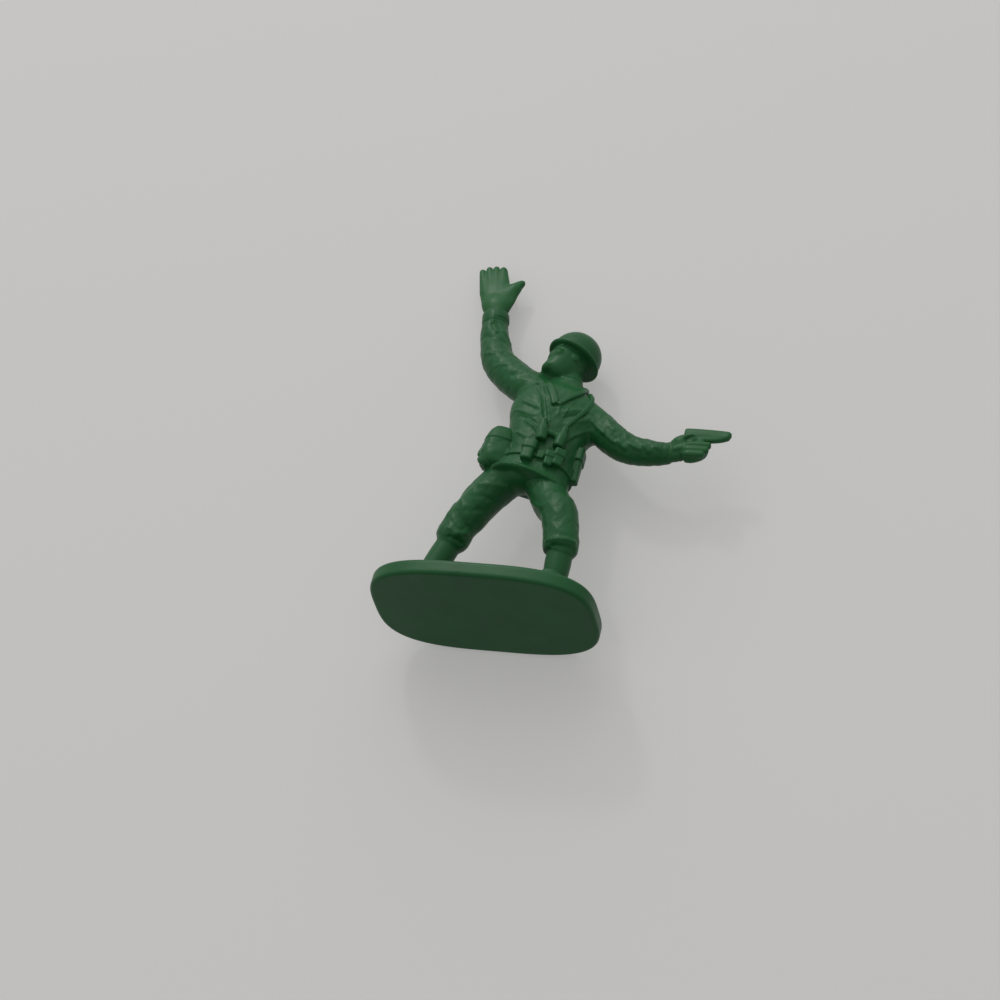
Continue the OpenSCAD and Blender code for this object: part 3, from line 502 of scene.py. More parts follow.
    def trouser(self, leg, ankle, folds, seat, slim):
        """Tube from hip to blouse that closes in to the boot, with a ball for its half of the seat."""
        s = self.s
        low, knee = self.ankle(ankle), between(s.knee_d, s.blouse_d, 0.6)
        hip, thigh, mid, shin, blouse = self.at(leg)
        tubing = tube([
            (hip, s.thigh_d * 1.1 * slim, s.thigh_d * 1.16),
            (thigh, s.thigh_d * 1.02 * slim, s.thigh_d * 1.08),
            (mid, s.knee_d * 1.04, s.knee_d * 1.08), (shin, knee * 1.02, knee),
            (blouse, s.blouse_d), (between(blouse, low, 0.2), s.boot_d * 0.7),
        ], folds=folds)
        hips = ball([s.hem_w * 0.44, s.hem_d * 0.76, s.thigh_d * 0.7])
        return joined(0.35, tubing, placed(hips, self.at(seat)))

    # Jacket, head

    def jacket(self):
        """Tube from hem to neck, cut below the hem by a plane that is level from front to back."""
        body = tube(
            [(row[:3], row[3], row[4]) for row in self.torso_rows], self.torso_front, power=self.torso_power,
            folds=JACKET_FOLDS,
        )
        hem, waist = self.torso_rows[:2, :3]
        above = unit((waist - hem) * [1, 0, 1])
        foot = self.on_torso(0, 0)
        below = Form(lambda points: (points - foot) @ above, body.low, body.high)
        return cut(body, below, 0.15)

    def collar(self):
        """Band from the V of the jacket up round the nape and down to the V again."""
        route = [[3.05, 1], [3.6, -5], [4.3, -18], [4.9, -45], [5.25, -80], [5.4, -130], [5.45, -180],
                 [5.4, -230], [5.25, -280], [4.9, -312], [4.4, -328], [3.95, -339], [3.5, -349], [3.05, -357]]
        return self.band(route, self.s.collar_w * 0.85, self.s.collar_t * 1.2, 0.6, 0.9)

    def in_head(self, form):
        """A form carried along with the turned and lifted head."""
        return placed(form, self.at(self.head), self.head_axes)

    def neck(self):
        """Tube from inside the shoulders to inside the skull."""
        low, high, d = self.torso_rows[-1, :3], self.at(self.head), self.s.neck_d
        return tube([
            (self.torso_rows[self.shoulder, :3], d), (low, d), (between(low, high, 0.4), d * 0.92),
            (between(low, high, 0.85), d * 0.9),
        ])

    def face(self):
        """Skull and jaw as ovals stacked from chin to crown, with lumps for nose, brow, cheeks, chin and ears
        and cuts for eyes and mouth."""
        s = self.s
        w, d, h = s.head_w, s.head_d, s.head_h
        skull = tube([
            ((0, -d * y, h * z), w * a, d * b) for z, y, a, b in (
                (-0.6, 0.2, 0.5, 0.42), (-0.52, 0.17, 0.72, 0.66), (-0.34, 0.09, 0.9, 0.86),
                (-0.12, 0.04, 0.96, 0.96), (0.05, 0.02, 1, 1), (0.2, 0, 1, 1), (0.36, 0, 0.9, 0.9),
                (0.5, 0, 0.5, 0.5),
            )
        ], power=2.2)

        def lump(x, y, z, size):
            return placed(ball(np.array(size) * [w, d, h]), [x * w, y * d, z * h])

        # Nose, brow, cheeks, chin and ears, all worn soft by the mould
        lumps = [
            lump(0, -0.46, -0.1, (0.18, 0.14, 0.24)), lump(0, -0.41, 0.06, (0.8, 0.18, 0.1)),
            lump(-0.25, -0.36, -0.14, (0.36, 0.22, 0.2)), lump(0.25, -0.36, -0.14, (0.36, 0.22, 0.2)),
            lump(0, -0.37, -0.5, (0.5, 0.24, 0.18)),
            lump(-0.48, 0.06, -0.02, (0.12, 0.2, 0.22)), lump(0.48, 0.06, -0.02, (0.12, 0.2, 0.22)),
        ]
        face = joined(0.25, skull, *lumps)
        # Eyes and mouth
        for x, z, wide in ((-0.2, -0.02, 0.2), (0.2, -0.02, 0.2), (0, -0.27, 0.24)):
            face = cut(face, lump(x, -0.53, z, (wide, 0.1, 0.04)), 0.1)
        return self.in_head(face)

    def helmet(self):
        """Bowl that is half an ellipsoid, flat below, with a rolled lip round its rim."""
        s = self.s
        half = np.array([s.helmet_w, s.helmet_d]) * 0.51
        high, power = s.helmet_h * 1.04, self.bowl_power

        def field(points):
            k = np.linalg.norm(points[:, :2] / half, axis=1) + TINY
            reach = np.linalg.norm(points[:, :2], axis=1) + TINY
            wall = reach - reach / k
            height = (points[:, 2] - s.brim_t) / (high - s.brim_t)
            above = np.maximum(height, 0)
            dome = ((k**power + above**power)**(1 / power) - 1) * min(half[0], high)
            bowl = trim(np.where(height > 0, dome, wall), -points[:, 2], 0.1)
            lip = np.hypot(wall - s.brim_out * 0.2, points[:, 2] - s.brim_t * 0.6) - s.brim_t * 0.55
            return fuse(bowl, lip, 0.12)
        bowl_and_lip = Form(field, [*-half - s.brim_out, 0], [*half + s.brim_out, high])
        return self.in_head(placed(bowl_and_lip, [0, s.head_d * 0.05, s.head_h * 0.1]))

    # Arms

    def sleeve(self, arm, scale, end, folds):
        """Tube along the arm that tapers from the upper arm to the wrist."""
        upper, elbow = self.s.upper_sleeve_d * scale, self.s.elbow_d * scale
        sizes = [upper, upper, upper, elbow, between(elbow, end, 0.3), between(elbow, end, 0.62), end * 1.05]
        return tube(list(zip(self.at(arm), sizes)), folds=folds)

    def cuff(self, arm, end, relief):
        """Short tube round the wrist, higher than the sleeve by relief times cuff_t."""
        s = self.s
        wrist = self.at(arm[-1])
        back = unit(self.at(arm[-3]) - wrist)
        d = end + 2 * relief * s.cuff_t
        return tube([
            (wrist + back * s.cuff_l * along, d * share)
            for along, share in ((0.9, 0.97), (0.6, 1), (0.2, 1), (-0.1, 0.97))
        ], end=0.12)

    def finger(self, root, way, long, d):
        """Tube that starts inside the hand, keeps its thickness for two thirds and narrows to its tip."""
        return tube([
            (root - way * d, d), (root + way * long * 0.3, d), (root + way * long * 0.62, d * 0.96),
            (root + way * (long - d * 0.35), d * 0.82), (root + way * long, d * 0.5),
        ], end=d * 0.4)

    def open_hand(self):
        """Palm as a flat tube from wrist to knuckles that thins behind the fingers, with a ball for its heel
        and four fingers side by side."""
        s = self.s
        wrist, palm = self.at(self.right_arm[-1]), self.at(self.right_palm)
        up, side = self.palm_up, self.palm_side
        hand = tube([
            (wrist, s.palm_w * 0.68, s.palm_t * 1.3), (palm[0], s.palm_w * 0.76, s.palm_t * 1.2),
            (palm[1], s.palm_w * 1.04, s.palm_t), (palm[2], s.palm_w * 1.06, s.palm_t * 0.86),
            (palm[2] + up * s.finger_l * 0.75, s.palm_w * 0.88, s.palm_t * 0.3),
        ], power=2.6)
        fingers = [
            self.finger(
                palm[2] + side * (k * 0.225 - 0.045) * s.palm_w, unit(up + side * k * 0.03),
                s.finger_l * share, s.finger_d * 1.05,
            )
            for k, share in zip((-1.5, -0.5, 0.5, 1.5), (0.97, 1.04, 1.02, 0.93))
        ]
        heel = placed(
            ball([s.palm_w * 0.95, s.palm_t * 1.24, s.palm_w * 0.84]),
            between(palm[0], palm[1], 0.5) + FRONT * s.palm_t * 0.06,
        )
        return joined(0.3, hand, heel, joined(0.12, *fingers))

    def open_thumb(self):
        """Tapered tube for the thumb, and one for the web from the wrist to the thumb's middle."""
        s = self.s
        d = s.thumb_d
        root = self.at(self.thumb_root) + self.palm_up * 0.13 * d
        way = unit(self.palm_up * 0.53 + self.palm_side * 0.85)
        along = way * s.thumb_l
        thumb = tube([
            (root - way * d * 0.1, d * 0.9, d * 0.4), (root + along * 0.3, d, d * 0.6),
            (root + along * 0.75, d * 0.66, d * 0.6), (root + along * 1.1, d * 0.3, d * 0.36),
        ], end=d * 0.3)
        wrist = self.at(self.right_palm[0]) + self.palm_side * s.palm_w * 0.24
        web = tube([
            (wrist, d * 0.66, d * 0.44), (between(wrist, root + along * 0.5, 0.5), d * 0.98, d * 0.52),
            (root + along * 0.62, d * 0.8, d * 0.5),
        ])
        return joined(0.4, thumb, web)

    def closed_hand(self):
        """Fist as a tube from the wrist to the knuckles, with a web up to the pistol, the thumb and three
        curled fingers, cut by a slanting hollow under the thumb."""
        s = self.s
        wrist, fist = self.at(self.left_arm[-1]), self.at(self.fist)
        w, h, t = s.fist_w, s.fist_h, s.fist_t

        def spot(along, out, up):
            """Place in shares of the fist, from its middle."""
            return fist + np.array([w * along, -t * out, h * up])

        end = s.left_sleeve_end_d
        palm = tube([
            (wrist - [s.cuff_l, 0, 0], end * 0.86, end * 0.8),
            (between(wrist, fist, 0.25) - UP * h * 0.06, h * 0.62, t * 0.78),
            (spot(-0.22, 0, -0.07), h * 0.92, t * 0.9), (spot(0.1, 0, -0.05), h * 1.0, t * 0.92),
            (spot(0.34, 0, 0.03), h * 0.76, t * 0.82), (spot(0.5, 0, 0.1), h * 0.4, t * 0.5),
        ], folds=FIST_FOLDS, end=0.5)
        rear = spot(-0.14, 0.1, 0.34)
        web = tube([
            (wrist + UP * h * 0.05, h * 0.5, t * 0.6), (between(wrist, rear, 0.55), h * 0.52, t * 0.64),
            (rear, h * 0.42, t * 0.56),
        ], end=0.4)
        thumb = self.finger(spot(-0.16, 0.3, 0.2), unit(np.array([1, -0.1, 0.4])), w * 0.34, h * 0.28)
        # Knuckle of each curled finger along and up the fist, and the finger's length, in shares of the fist
        curl = unit(np.array([-1, -0.12, -0.1]))
        curled = [
            self.finger(spot(along, 0.28, up), curl, w * long, h * 0.25)
            for along, up, long in ((0.4, 0.02, 0.52), (0.36, -0.18, 0.48), (0.26, -0.36, 0.38))
        ]
        hollow = ball([w * 0.44, t * 0.8, h * 0.24])
        hollow = placed(hollow, spot(0.06, 0.56, 0.22), turning(math.radians(-22), "Y"))
        return cut(joined(0.14, joined(0.4, palm, web, thumb), *curled), hollow, 0.3)

    def pistol(self):
        """Slide, tapered rail below it and muzzle as tubes along the barrel, and guard and grip as tubes
        downward."""
        s = self.s
        fist = self.at(self.fist)
        rear = fist + np.array([-s.fist_w * 0.22, -s.fist_t * 0.17, s.fist_h * 0.53])
        under = rear - UP * s.slide_h * 0.6

        slide = tube([
            (rear + [s.slide_l * x, 0, 0], s.slide_h * h, s.slide_w * w)
            for x, h, w in ((0, 0.9, 0.9), (0.1, 1.1, 1.1), (0.5, 1.08, 1.1), (0.92, 0.9, 1), (1, 0.7, 0.8))
        ], power=3.0, end=0.15)
        rail = tube([
            (rear + [s.slide_l * x, 0, -s.slide_h * z], s.slide_h * h, s.slide_w * 0.95)
            for x, z, h in ((0.06, 0.6, 0.8), (0.5, 0.62, 0.84), (0.8, 0.5, 0.7), (0.98, 0.22, 0.5))
        ], power=2.6, end=0.2)
        guard = tube([
            (under + [s.slide_l * x, 0, -s.slide_h * z], s.slide_l * w, s.slide_w * 0.5)
            for x, z, w in ((0.36, 0, 0.3), (0.35, 0.8, 0.24), (0.34, 1.1, 0.14))
        ], power=2.6, end=0.1)
        rake = np.array([-s.grip_l * 0.12, 0, -s.grip_l])
        top = under + [s.slide_l * 0.16, 0, 0]
        grip = tube([
            (top + rake * share, s.grip_d * (1 + 0.05 * share), s.slide_w * (1 + 0.1 * share))
            for share in (0, 0.5, 1)
        ], power=3, end=0.12)
        muzzle = tube([
            (rear + [s.slide_l * share, 0, s.slide_h * 0.05], s.muzzle_d) for share in (0.85, 0.95, 1.02)
        ], end=0.08)
        return joined(0.15, slide, rail, guard, grip, muzzle)

    # Belt and kit

    def belt(self):
        """Tube round the jacket at the waist, higher than it by belt_t."""
        s = self.s
        rows = self.torso_rows[:, :3]
        low = self.waist - s.belt_h / 2 / np.linalg.norm(rows[1] - rows[0])
        high = self.waist + s.belt_h / 2 / np.linalg.norm(rows[2] - rows[1])
        stations = []
        for level in (low, between(low, high, 0.35), between(low, high, 0.65), high):
            row = self.torso_at(level)
            stations.append((row[:3], row[3] + 2 * s.belt_t, row[4] + 2 * s.belt_t))
        return tube(stations, self.torso_front, power=self.torso_power, end=0.14)

    def pouch_box(self, w, h, t, foot):
        """Box that stands out by t from what it is sunk into, foot times as wide below as above."""
        return tube([
            ((0, t * 0.25, h * z), w * between(foot, 1, z + 0.5), t * 1.5) for z in (-0.5, -0.2, 0.2, 0.5)
        ], BACK, power=4, end=min(0.2, t * 0.5))

    def flap(self, w, h, t, drop):
        """Lid over the share drop of such a box, from its top down, higher than the box by flap_t."""
        lid = self.s.flap_t
        return tube([
            ((0, t * 0.25, h * z), w + 2 * lid, t * 1.5 + 2 * lid)
            for z in (0.5 - drop, 0.5 - drop * 0.6, 0.5 - drop * 0.3, 0.5 + lid / h)
        ], BACK, power=4, end=min(0.16, t * 0.4))

    def pouch(self, turn, scale, drop):
        """Box with its lid on the belt, lower by drop times pouch_h."""
        s = self.s
        w, h, t = s.pouch_w * scale, s.pouch_h * scale, s.pouch_t * scale
        form = joined(0.04, self.pouch_box(w, h, t, 0.92), self.flap(w, h, t, 0.42))
        return self.on_jacket(form, self.waist, turn, (0, s.belt_t, -s.pouch_h * drop))

    def buckle(self):
        """Rounded plate on the front of the belt."""
        s = self.s
        form = block([s.buckle_w, s.belt_t * 2.6, s.belt_h * 0.95], 0.1)
        return self.on_jacket(form, self.waist, 4, (0, s.belt_t * 0.6, 0))

    def on_right_hip(self, rows, lid, **shape):
        """Upright tube on the right hip: for each row a height, a width and a depth in shares of the canteen,
        and the part of lid by which it is raised, with lid added to the width and the depth."""
        s = self.s
        wide, high, deep = s.canteen_w, s.canteen_h, s.canteen_t
        form = tube([
            ((0, deep * 0.3, high * z + lid * over), wide * w + lid, deep * t + lid) for z, w, t, over in rows
        ], BACK, power=2.8, **shape)
        return self.on_jacket(form, self.waist, -84, (0, s.belt_t - deep * 0.1, high * 0.27))

    def canteen(self):
        """Flask in its cover, fullest below its middle."""
        rows = ((-0.5, 0.6, 0.95, 0), (-0.42, 0.85, 1.25, 0), (-0.22, 1, 1.42, 0), (0.12, 1, 1.26, 0),
                (0.36, 0.85, 0.96, 0), (0.5, 0.45, 0.6, 0))
        return self.on_right_hip(rows, 0, folds=CANTEEN_FOLDS, end=0.3)

    def canteen_flap(self):
        """Lid over the flask's upper part, higher by flap_t."""
        rows = ((0.1, 1, 1.27, 0), (0.18, 0.98, 1.2, 0), (0.36, 0.85, 0.96, 0), (0.5, 0.4, 0.6, 0.5))
        return self.on_right_hip(rows, 2 * self.s.flap_t, end=0.14)

    def on_left_hip(self, form):
        """A form hung on the belt at the left hip."""
        return self.on_jacket(form, self.waist, 86, (0, self.s.belt_t * 0.6, self.s.holster_h * 0.2))

    def holster(self):
        """Slim box that narrows to its foot."""
        s = self.s
        return self.on_left_hip(self.pouch_box(s.holster_w, s.holster_h, s.holster_t, 0.6))

    def holster_flap(self):
        """Lid over the holster's upper third."""
        s = self.s
        return self.on_left_hip(self.flap(s.holster_w, s.holster_h, s.holster_t, 0.36))

    def barrel(self, level, turn, lean):
        """Upright tube, wide at the lens and narrow at the eye, that leans on the chest."""
        s = self.s
        form = tube([
            ((0, 0, s.barrel_l * z), s.barrel_d * w, s.barrel_d * d) for z, w, d in (
                (-0.5, 0.95, 0.95), (-0.3, 1, 1), (0, 1, 1), (0.2, 0.72, 0.8), (0.4, 0.68, 0.74),
                (0.5, 0.55, 0.6),
            )
        ], end=0.15)
        leaned = placed(form, np.zeros(3), turning(math.radians(lean), "Y"))
        return self.on_jacket(leaned, level, turn, (0, s.barrel_d * 0.3, 0))

    def bridge(self):
        """Tube from barrel to barrel, slimmer in its middle."""
        s = self.s
        ends = [self.on_torso(level, turn, s.barrel_d * 0.25) for level, turn, _ in self.barrels]
        return tube([
            (between(*ends, share), s.barrel_l * high, s.barrel_d * 0.6)
            for share, high in ((0, 0.3), (0.5, 0.24), (1, 0.3))
        ], self.torso_front)

    def strap(self):
        """Band from the right barrel round the nape to the left barrel, over the root of the right sleeve."""
        s = self.s
        route = [[2.2, -2], [3, -11], [3.8, -25], [4.5, -53], [4.75, -88], [4.8, -130], [4.8, -180],
                 [4.8, -230], [4.75, -272], [4.5, -303], [3.8, -314], [3, -323], [2.1, -337]]
        shoulder = joined(0.7, self.jacket(), self.sleeve(self.right_arm, 1, s.sleeve_end_d, ()))
        return self.band(route, s.strap_w * 1.15, s.strap_t * 2.2, 0.45, 0.45, shoulder)

    def forms(self):
        """Every piece of the figure by node, with its form and the fillet where it meets the pieces before
        it, in millimetres."""
        right_end, left_end = self.s.sleeve_end_d, self.s.left_sleeve_end_d
        right_leg = self.trouser(self.right_leg, self.right_ankle, RIGHT_LEG_FOLDS, self.right_seat, 0.92)
        left_leg = self.trouser(self.left_leg, self.left_ankle, LEFT_LEG_FOLDS, self.left_seat, 0.95)
        return {
            "base": (self.base(), 0.3),
            "right_boot": (self.boot(self.right_ankle, self.right_leg, self.right_toe), 0.3),
            "left_boot": (self.boot(self.left_ankle, self.left_leg, self.left_toe), 0.3),
            "right_trouser_leg": (right_leg, 0.25),
            "left_trouser_leg": (left_leg, 0.25),
            "jacket": (self.jacket(), 0.12),
            "neck": (self.neck(), 0.3),
            "head": (self.face(), 0.3),
            "helmet": (self.helmet(), 0.12),
            "right_sleeve": (self.sleeve(self.right_arm, 1, right_end, RIGHT_ARM_FOLDS), 0.7),
            "right_cuff": (self.cuff(self.right_arm, right_end * 1.04, 1.2), 0.08),
            "right_hand": (self.open_hand(), 0.15),
            "right_thumb": (self.open_thumb(), 0.3),
            "left_sleeve": (self.sleeve(self.left_arm, 0.86, left_end, LEFT_ARM_FOLDS), 0.7),
            "left_cuff": (self.cuff(self.left_arm, left_end, 0.4), 0.3),
            "left_hand": (self.closed_hand(), 0.35),
            "pistol": (self.pistol(), 0.1),
            "collar": (self.collar(), 0.08),
            "belt": (self.belt(), 0.1),
            "belt_buckle": (self.buckle(), 0.08),
            "right_pouch": (self.pouch(-11, 1, -0.05), 0.1),
            "left_inner_pouch": (self.pouch(17, 0.72, 0.2), 0.1),
            "left_outer_pouch": (self.pouch(31, 0.85, 0.02), 0.1),
            "canteen": (self.canteen(), 0.2),
            "canteen_flap": (self.canteen_flap(), 0.06),
            "holster": (self.holster(), 0.12),
            "holster_flap": (self.holster_flap(), 0.06),
            "binocular_right_barrel": (self.barrel(*self.barrels[0]), 0.12),
            "binocular_left_barrel": (self.barrel(*self.barrels[1]), 0.12),
            "binocular_bridge": (self.bridge(), 0.12),
            "binocular_strap": (self.strap(), 0.06),
        }


# Folds of the cloth: station and angle where each starts and ends, its width and its height in millimetres
CANTEEN_FOLDS = [
    (0.8, 95, 3, 75, 0.16, 0.18), (1, 40, 2.4, 55, 0.18, 0.16), (0.6, 130, 1.8, 120, 0.2, -0.16),
    (1.2, 60, 1.8, 100, 0.16, -0.12),
]
FIST_FOLDS = [(1.3, 96, 2.0, 112, 0.22, 0.12)]
RIGHT_LEG_FOLDS = [
    (0.5, 40, 0.9, 95, 0.25, 0.07), (0.9, 30, 1.3, 80, 0.22, -0.06), (1.1, 105, 1.6, 60, 0.2, 0.07),
    (1.9, 115, 2.5, 60, 0.22, 0.07), (1.7, 40, 2.2, 75, 0.25, -0.06), (2.5, 95, 3.1, 45, 0.25, -0.08),
    (2.9, 110, 3.4, 60, 0.22, 0.08), (3.5, 30, 4.0, 60, 0.25, 0.15), (3.75, 95, 3.85, 60, 0.2, 0.1),
    (4.1, 20, 4.2, 75, 0.16, -0.16), (0.6, 130, 1.4, 150, 0.25, 0.08), (2.2, 150, 3.0, 130, 0.25, 0.08),
]
LEFT_LEG_FOLDS = [
    (0.5, 150, 1.3, 105, 0.3, 0.05), (0.8, 160, 1.9, 130, 0.22, 0.08), (1.3, 60, 2.0, 85, 0.35, 0.03),
    (1.9, 120, 2.5, 90, 0.3, 0.04), (2.4, 60, 2.9, 90, 0.3, -0.04), (2.9, 110, 3.3, 85, 0.3, 0.04),
    (3.7, 130, 3.75, 30, 0.2, 0.12), (4.15, 110, 4.2, 20, 0.16, -0.16),
]
JACKET_FOLDS = [
    (3.0, 32, 2.75, 55, 0.16, 0.09), (2.6, 25, 2.35, 55, 0.15, 0.1), (2.2, 62, 2.0, 76, 0.18, 0.08),
    (2.15, 45, 1.85, 72, 0.16, 0.1), (2.8, 40, 2.6, 60, 0.2, -0.07), (2.3, 35, 2.1, 60, 0.14, -0.08),
    (3.7, 25, 3.3, 45, 0.25, 0.06), (1.75, 35, 1.3, 82, 0.14, 0.12), (1.95, 62, 1.6, 88, 0.16, 0.08),
    (3.3, 145, 2.8, 115, 0.2, 0.1), (2.9, 155, 2.3, 125, 0.2, 0.1), (3.1, 150, 2.55, 120, 0.16, -0.1),
    (2.5, 160, 1.7, 135, 0.2, 0.1), (2.0, 150, 1.4, 130, 0.18, -0.1), (3.0, 102, 3.0, 118, 0.1, 0.08),
    (3.0, 102, 2.6, 104, 0.1, 0.06), (3.0, 118, 2.6, 116, 0.1, 0.06), (4.2, 66, 3.0, 86, 0.12, -0.14),
    (4.2, 52, 2.4, 78, 0.2, -0.12), (0.12, -90, 0.12, 270, 0.16, 0.16),
    (3.2, 200, 2.4, 240, 0.3, 0.12), (3.0, 330, 2.3, 300, 0.3, 0.12), (2.4, 230, 1.7, 280, 0.3, 0.1),
    (1.8, 320, 1.3, 260, 0.25, 0.1),
]
RIGHT_ARM_FOLDS = [
    (5.7, 96, 4.9, 92, 0.14, 0.12), (4.9, 92, 4.2, 106, 0.14, 0.12), (5.4, 80, 4.7, 72, 0.16, 0.08),
    (5.0, 112, 4.5, 122, 0.2, -0.08), (4.1, 60, 3.6, 130, 0.35, -0.14), (3.2, 50, 2.9, 90, 0.18, 0.07),
    (2.7, 110, 2.2, 140, 0.25, -0.08), (2.4, 60, 2.0, 100, 0.2, 0.07), (1.6, 75, 1.1, 110, 0.3, -0.08),
    (4.4, 140, 3.8, 170, 0.2, 0.1), (4.6, 240, 3.8, 280, 0.25, 0.1), (3.2, 240, 2.6, 290, 0.25, 0.1),
    (5.25, 0, 5.25, 360, 0.1, -0.09),
]
LEFT_ARM_FOLDS = [
    (1.1, 110, 1.9, 112, 0.2, 0.14), (1.9, 112, 2.5, 118, 0.18, 0.13), (2.6, 108, 3.0, 120, 0.2, 0.14),
    (3.2, 100, 3.6, 112, 0.2, 0.14), (3.8, 95, 4.1, 118, 0.2, 0.14), (4.5, 92, 4.9, 105, 0.18, 0.12),
    (1.5, 60, 2.1, 80, 0.22, 0.08), (2.3, 40, 2.8, 75, 0.2, 0.08), (2.9, 70, 3.4, 80, 0.2, -0.08),
    (3.6, 60, 4.1, 85, 0.2, -0.08), (2.4, 240, 3.0, 280, 0.25, 0.1), (3.4, 250, 3.9, 290, 0.25, 0.1),
]


# Moulding: from forms to meshes

# How fast a piece dives under its neighbour past the seam, per millimetre
DIVE = 5.0
# Grid step of the broad pieces and of all others, and the room left round a piece, in millimetres
BROAD_STEP, FINE_STEP, MARGIN = 0.09, 0.07, 0.5
BROAD_NODES = ("base", "right_boot", "left_boot", "right_trouser_leg", "left_trouser_leg", "jacket", "neck",
               "right_sleeve", "left_sleeve", "canteen")
# Samples along one side of the coarse blocks that are looked at first, and how many such sides from the
# surface a block's middle may be for its samples to be worked out
COARSE, NEAR = 4, 1.5


def moulded(forms, node):
    """A piece as it shows in the one moulding. All pieces fuse, with their fillets, and past the seam with a
    nearer neighbour the piece dives under it: the fused field plus DIVE times the excess squared."""
    def field(points):
        fused, rest, own = None, None, None
        for name, (form, blend) in forms.items():
            value = form(points)
            fused = value if fused is None else fuse(fused, value, blend)
            if name == node:
                own = value
            else:
                rest = value if rest is None else np.minimum(rest, value)
        return fused + DIVE * np.maximum(own - rest, 0)**2
    return field


def samples_of(field, low, high, step):
    """The field on a grid of the given step. Blocks that are far from the surface keep one coarse value."""
    blocks = np.ceil((high - low) / (step * COARSE)).astype(int) + 1
    middles = np.stack(np.meshgrid(*[np.arange(n) for n in blocks], indexing="ij"), -1).reshape(-1, 3)
    rough = field(low + step * (middles * COARSE + (COARSE - 1) / 2))
    value = rough.reshape(blocks)
    for axis in range(3):
        value = np.repeat(value, COARSE, axis)
    near = middles[np.abs(rough) < step * COARSE * NEAR]
    inner = np.stack(np.meshgrid(*[np.arange(COARSE)] * 3, indexing="ij"), -1).reshape(-1, 3)
    index = (near[:, None] * COARSE + inner).reshape(-1, 3)
    value[tuple(index.T)] = field(low + step * index)
    return value


def surface_net(value, low, step):
    """Quads over the zero of a grid: one vertex in each cell that the surface crosses, at the mean of the
    crossings on its edges, and one quad round each grid edge that the surface crosses."""
    inside = value < 0
    corners = np.array([[i, j, k] for i in (0, 1) for j in (0, 1) for k in (0, 1)])
    shape = np.array(value.shape) - 1
    count = sum(inside[i:i + shape[0], j:j + shape[1], k:k + shape[2]].astype(np.int8) for i, j, k in corners)
    cells = np.argwhere((count > 0) & (count < 8))
    at_corner = value[tuple((cells[:, None] + corners).transpose(2, 0, 1))]
    total, hits = np.zeros((len(cells), 3)), np.zeros((len(cells), 1))
    for a in range(8):
        for b in range(a + 1, 8):
            if np.abs(corners[a] - corners[b]).sum() == 1:
                va, vb = at_corner[:, a], at_corner[:, b]
                crossed = ((va < 0) != (vb < 0))[:, None]
                share = (va / np.where(va == vb, 1, va - vb))[:, None]
                total += np.where(crossed, corners[a] + (corners[b] - corners[a]) * share, 0)
                hits += crossed
    vertices = low + step * (cells + total / hits)
    number = np.full(shape, -1)
    number[tuple(cells.T)] = np.arange(len(cells))
    quads = []
    for axis in range(3):
        ahead = np.eye(3, dtype=int)[axis]
        here = inside[tuple(slice(0, n - d) for n, d in zip(inside.shape, ahead))]
        there = inside[tuple(slice(d, None) for d in ahead)]
        edges = np.argwhere(here != there)
        u, v = np.eye(3, dtype=int)[(axis + 1) % 3], np.eye(3, dtype=int)[(axis + 2) % 3]
        edges = edges[np.all((edges >= u + v) & (edges < shape), axis=1)]
        ring = np.stack([number[tuple((edges - d).T)] for d in (u + v, v, 0 * u, u)], 1)
        flip = ~here[tuple(edges.T)]
        ring[flip] = ring[flip][:, ::-1]
        quads.append(ring)
    return vertices, np.vstack(quads)


def drawn_to(field, vertices, step):
    """Vertices moved onto the field's zero, by its value over the square of its slope, along the slope. The
    slope is taken over a fifth of a step, its square counts as at least 0.05, and no vertex moves by more
    than 0.7 steps."""
    value = field(vertices)
    h = step * 0.2
    slope = np.stack([(field(vertices + h * d) - value) / h for d in np.eye(3)], 1)
    move = -slope * (value / np.maximum((slope**2).sum(1), 0.05))[:, None]
    reach = np.linalg.norm(move, axis=1, keepdims=True)
    return vertices + move * np.minimum(1, step * 0.7 / np.maximum(reach, TINY))


def largest_shell(vertices, quads):
    """The one shell with the most vertices: each vertex takes the lowest number among its neighbours until
    none changes."""
    edges = np.vstack([quads[:, pair] for pair in ([0, 1], [1, 2], [2, 3], [3, 0])])
    label = np.arange(len(vertices))
    while True:
        lower = label.copy()
        np.minimum.at(lower, edges[:, 0], label[edges[:, 1]])
        np.minimum.at(lower, edges[:, 1], label[edges[:, 0]])
        lower = lower[lower]
        if np.array_equal(lower, label):
            break
        label = lower
    kept = label == np.bincount(label).argmax()
    number = np.cumsum(kept) - 1
    return vertices[kept], number[quads[kept[quads[:, 0]]]]


def add_mesh(name, vertices, quads):
    """A mesh object at the origin, with its vertices in millimetres and its faces outward."""
    mesh = bpy.data.meshes.new(name)
    mesh.vertices.add(len(vertices))
    mesh.vertices.foreach_set("co", (vertices * MM).astype(np.float32).ravel())
    mesh.loops.add(quads.size)
    mesh.loops.foreach_set("vertex_index", quads.astype(np.int32).ravel())
    mesh.polygons.add(len(quads))
    mesh.polygons.foreach_set("loop_start", np.arange(0, quads.size, quads.shape[1], dtype=np.int32))
    mesh.update(calc_edges=True)
    mesh.validate()
    mesh.shade_smooth()
    piece = bpy.data.objects.new(name, mesh)
    bpy.context.scene.collection.objects.link(piece)
    return piece


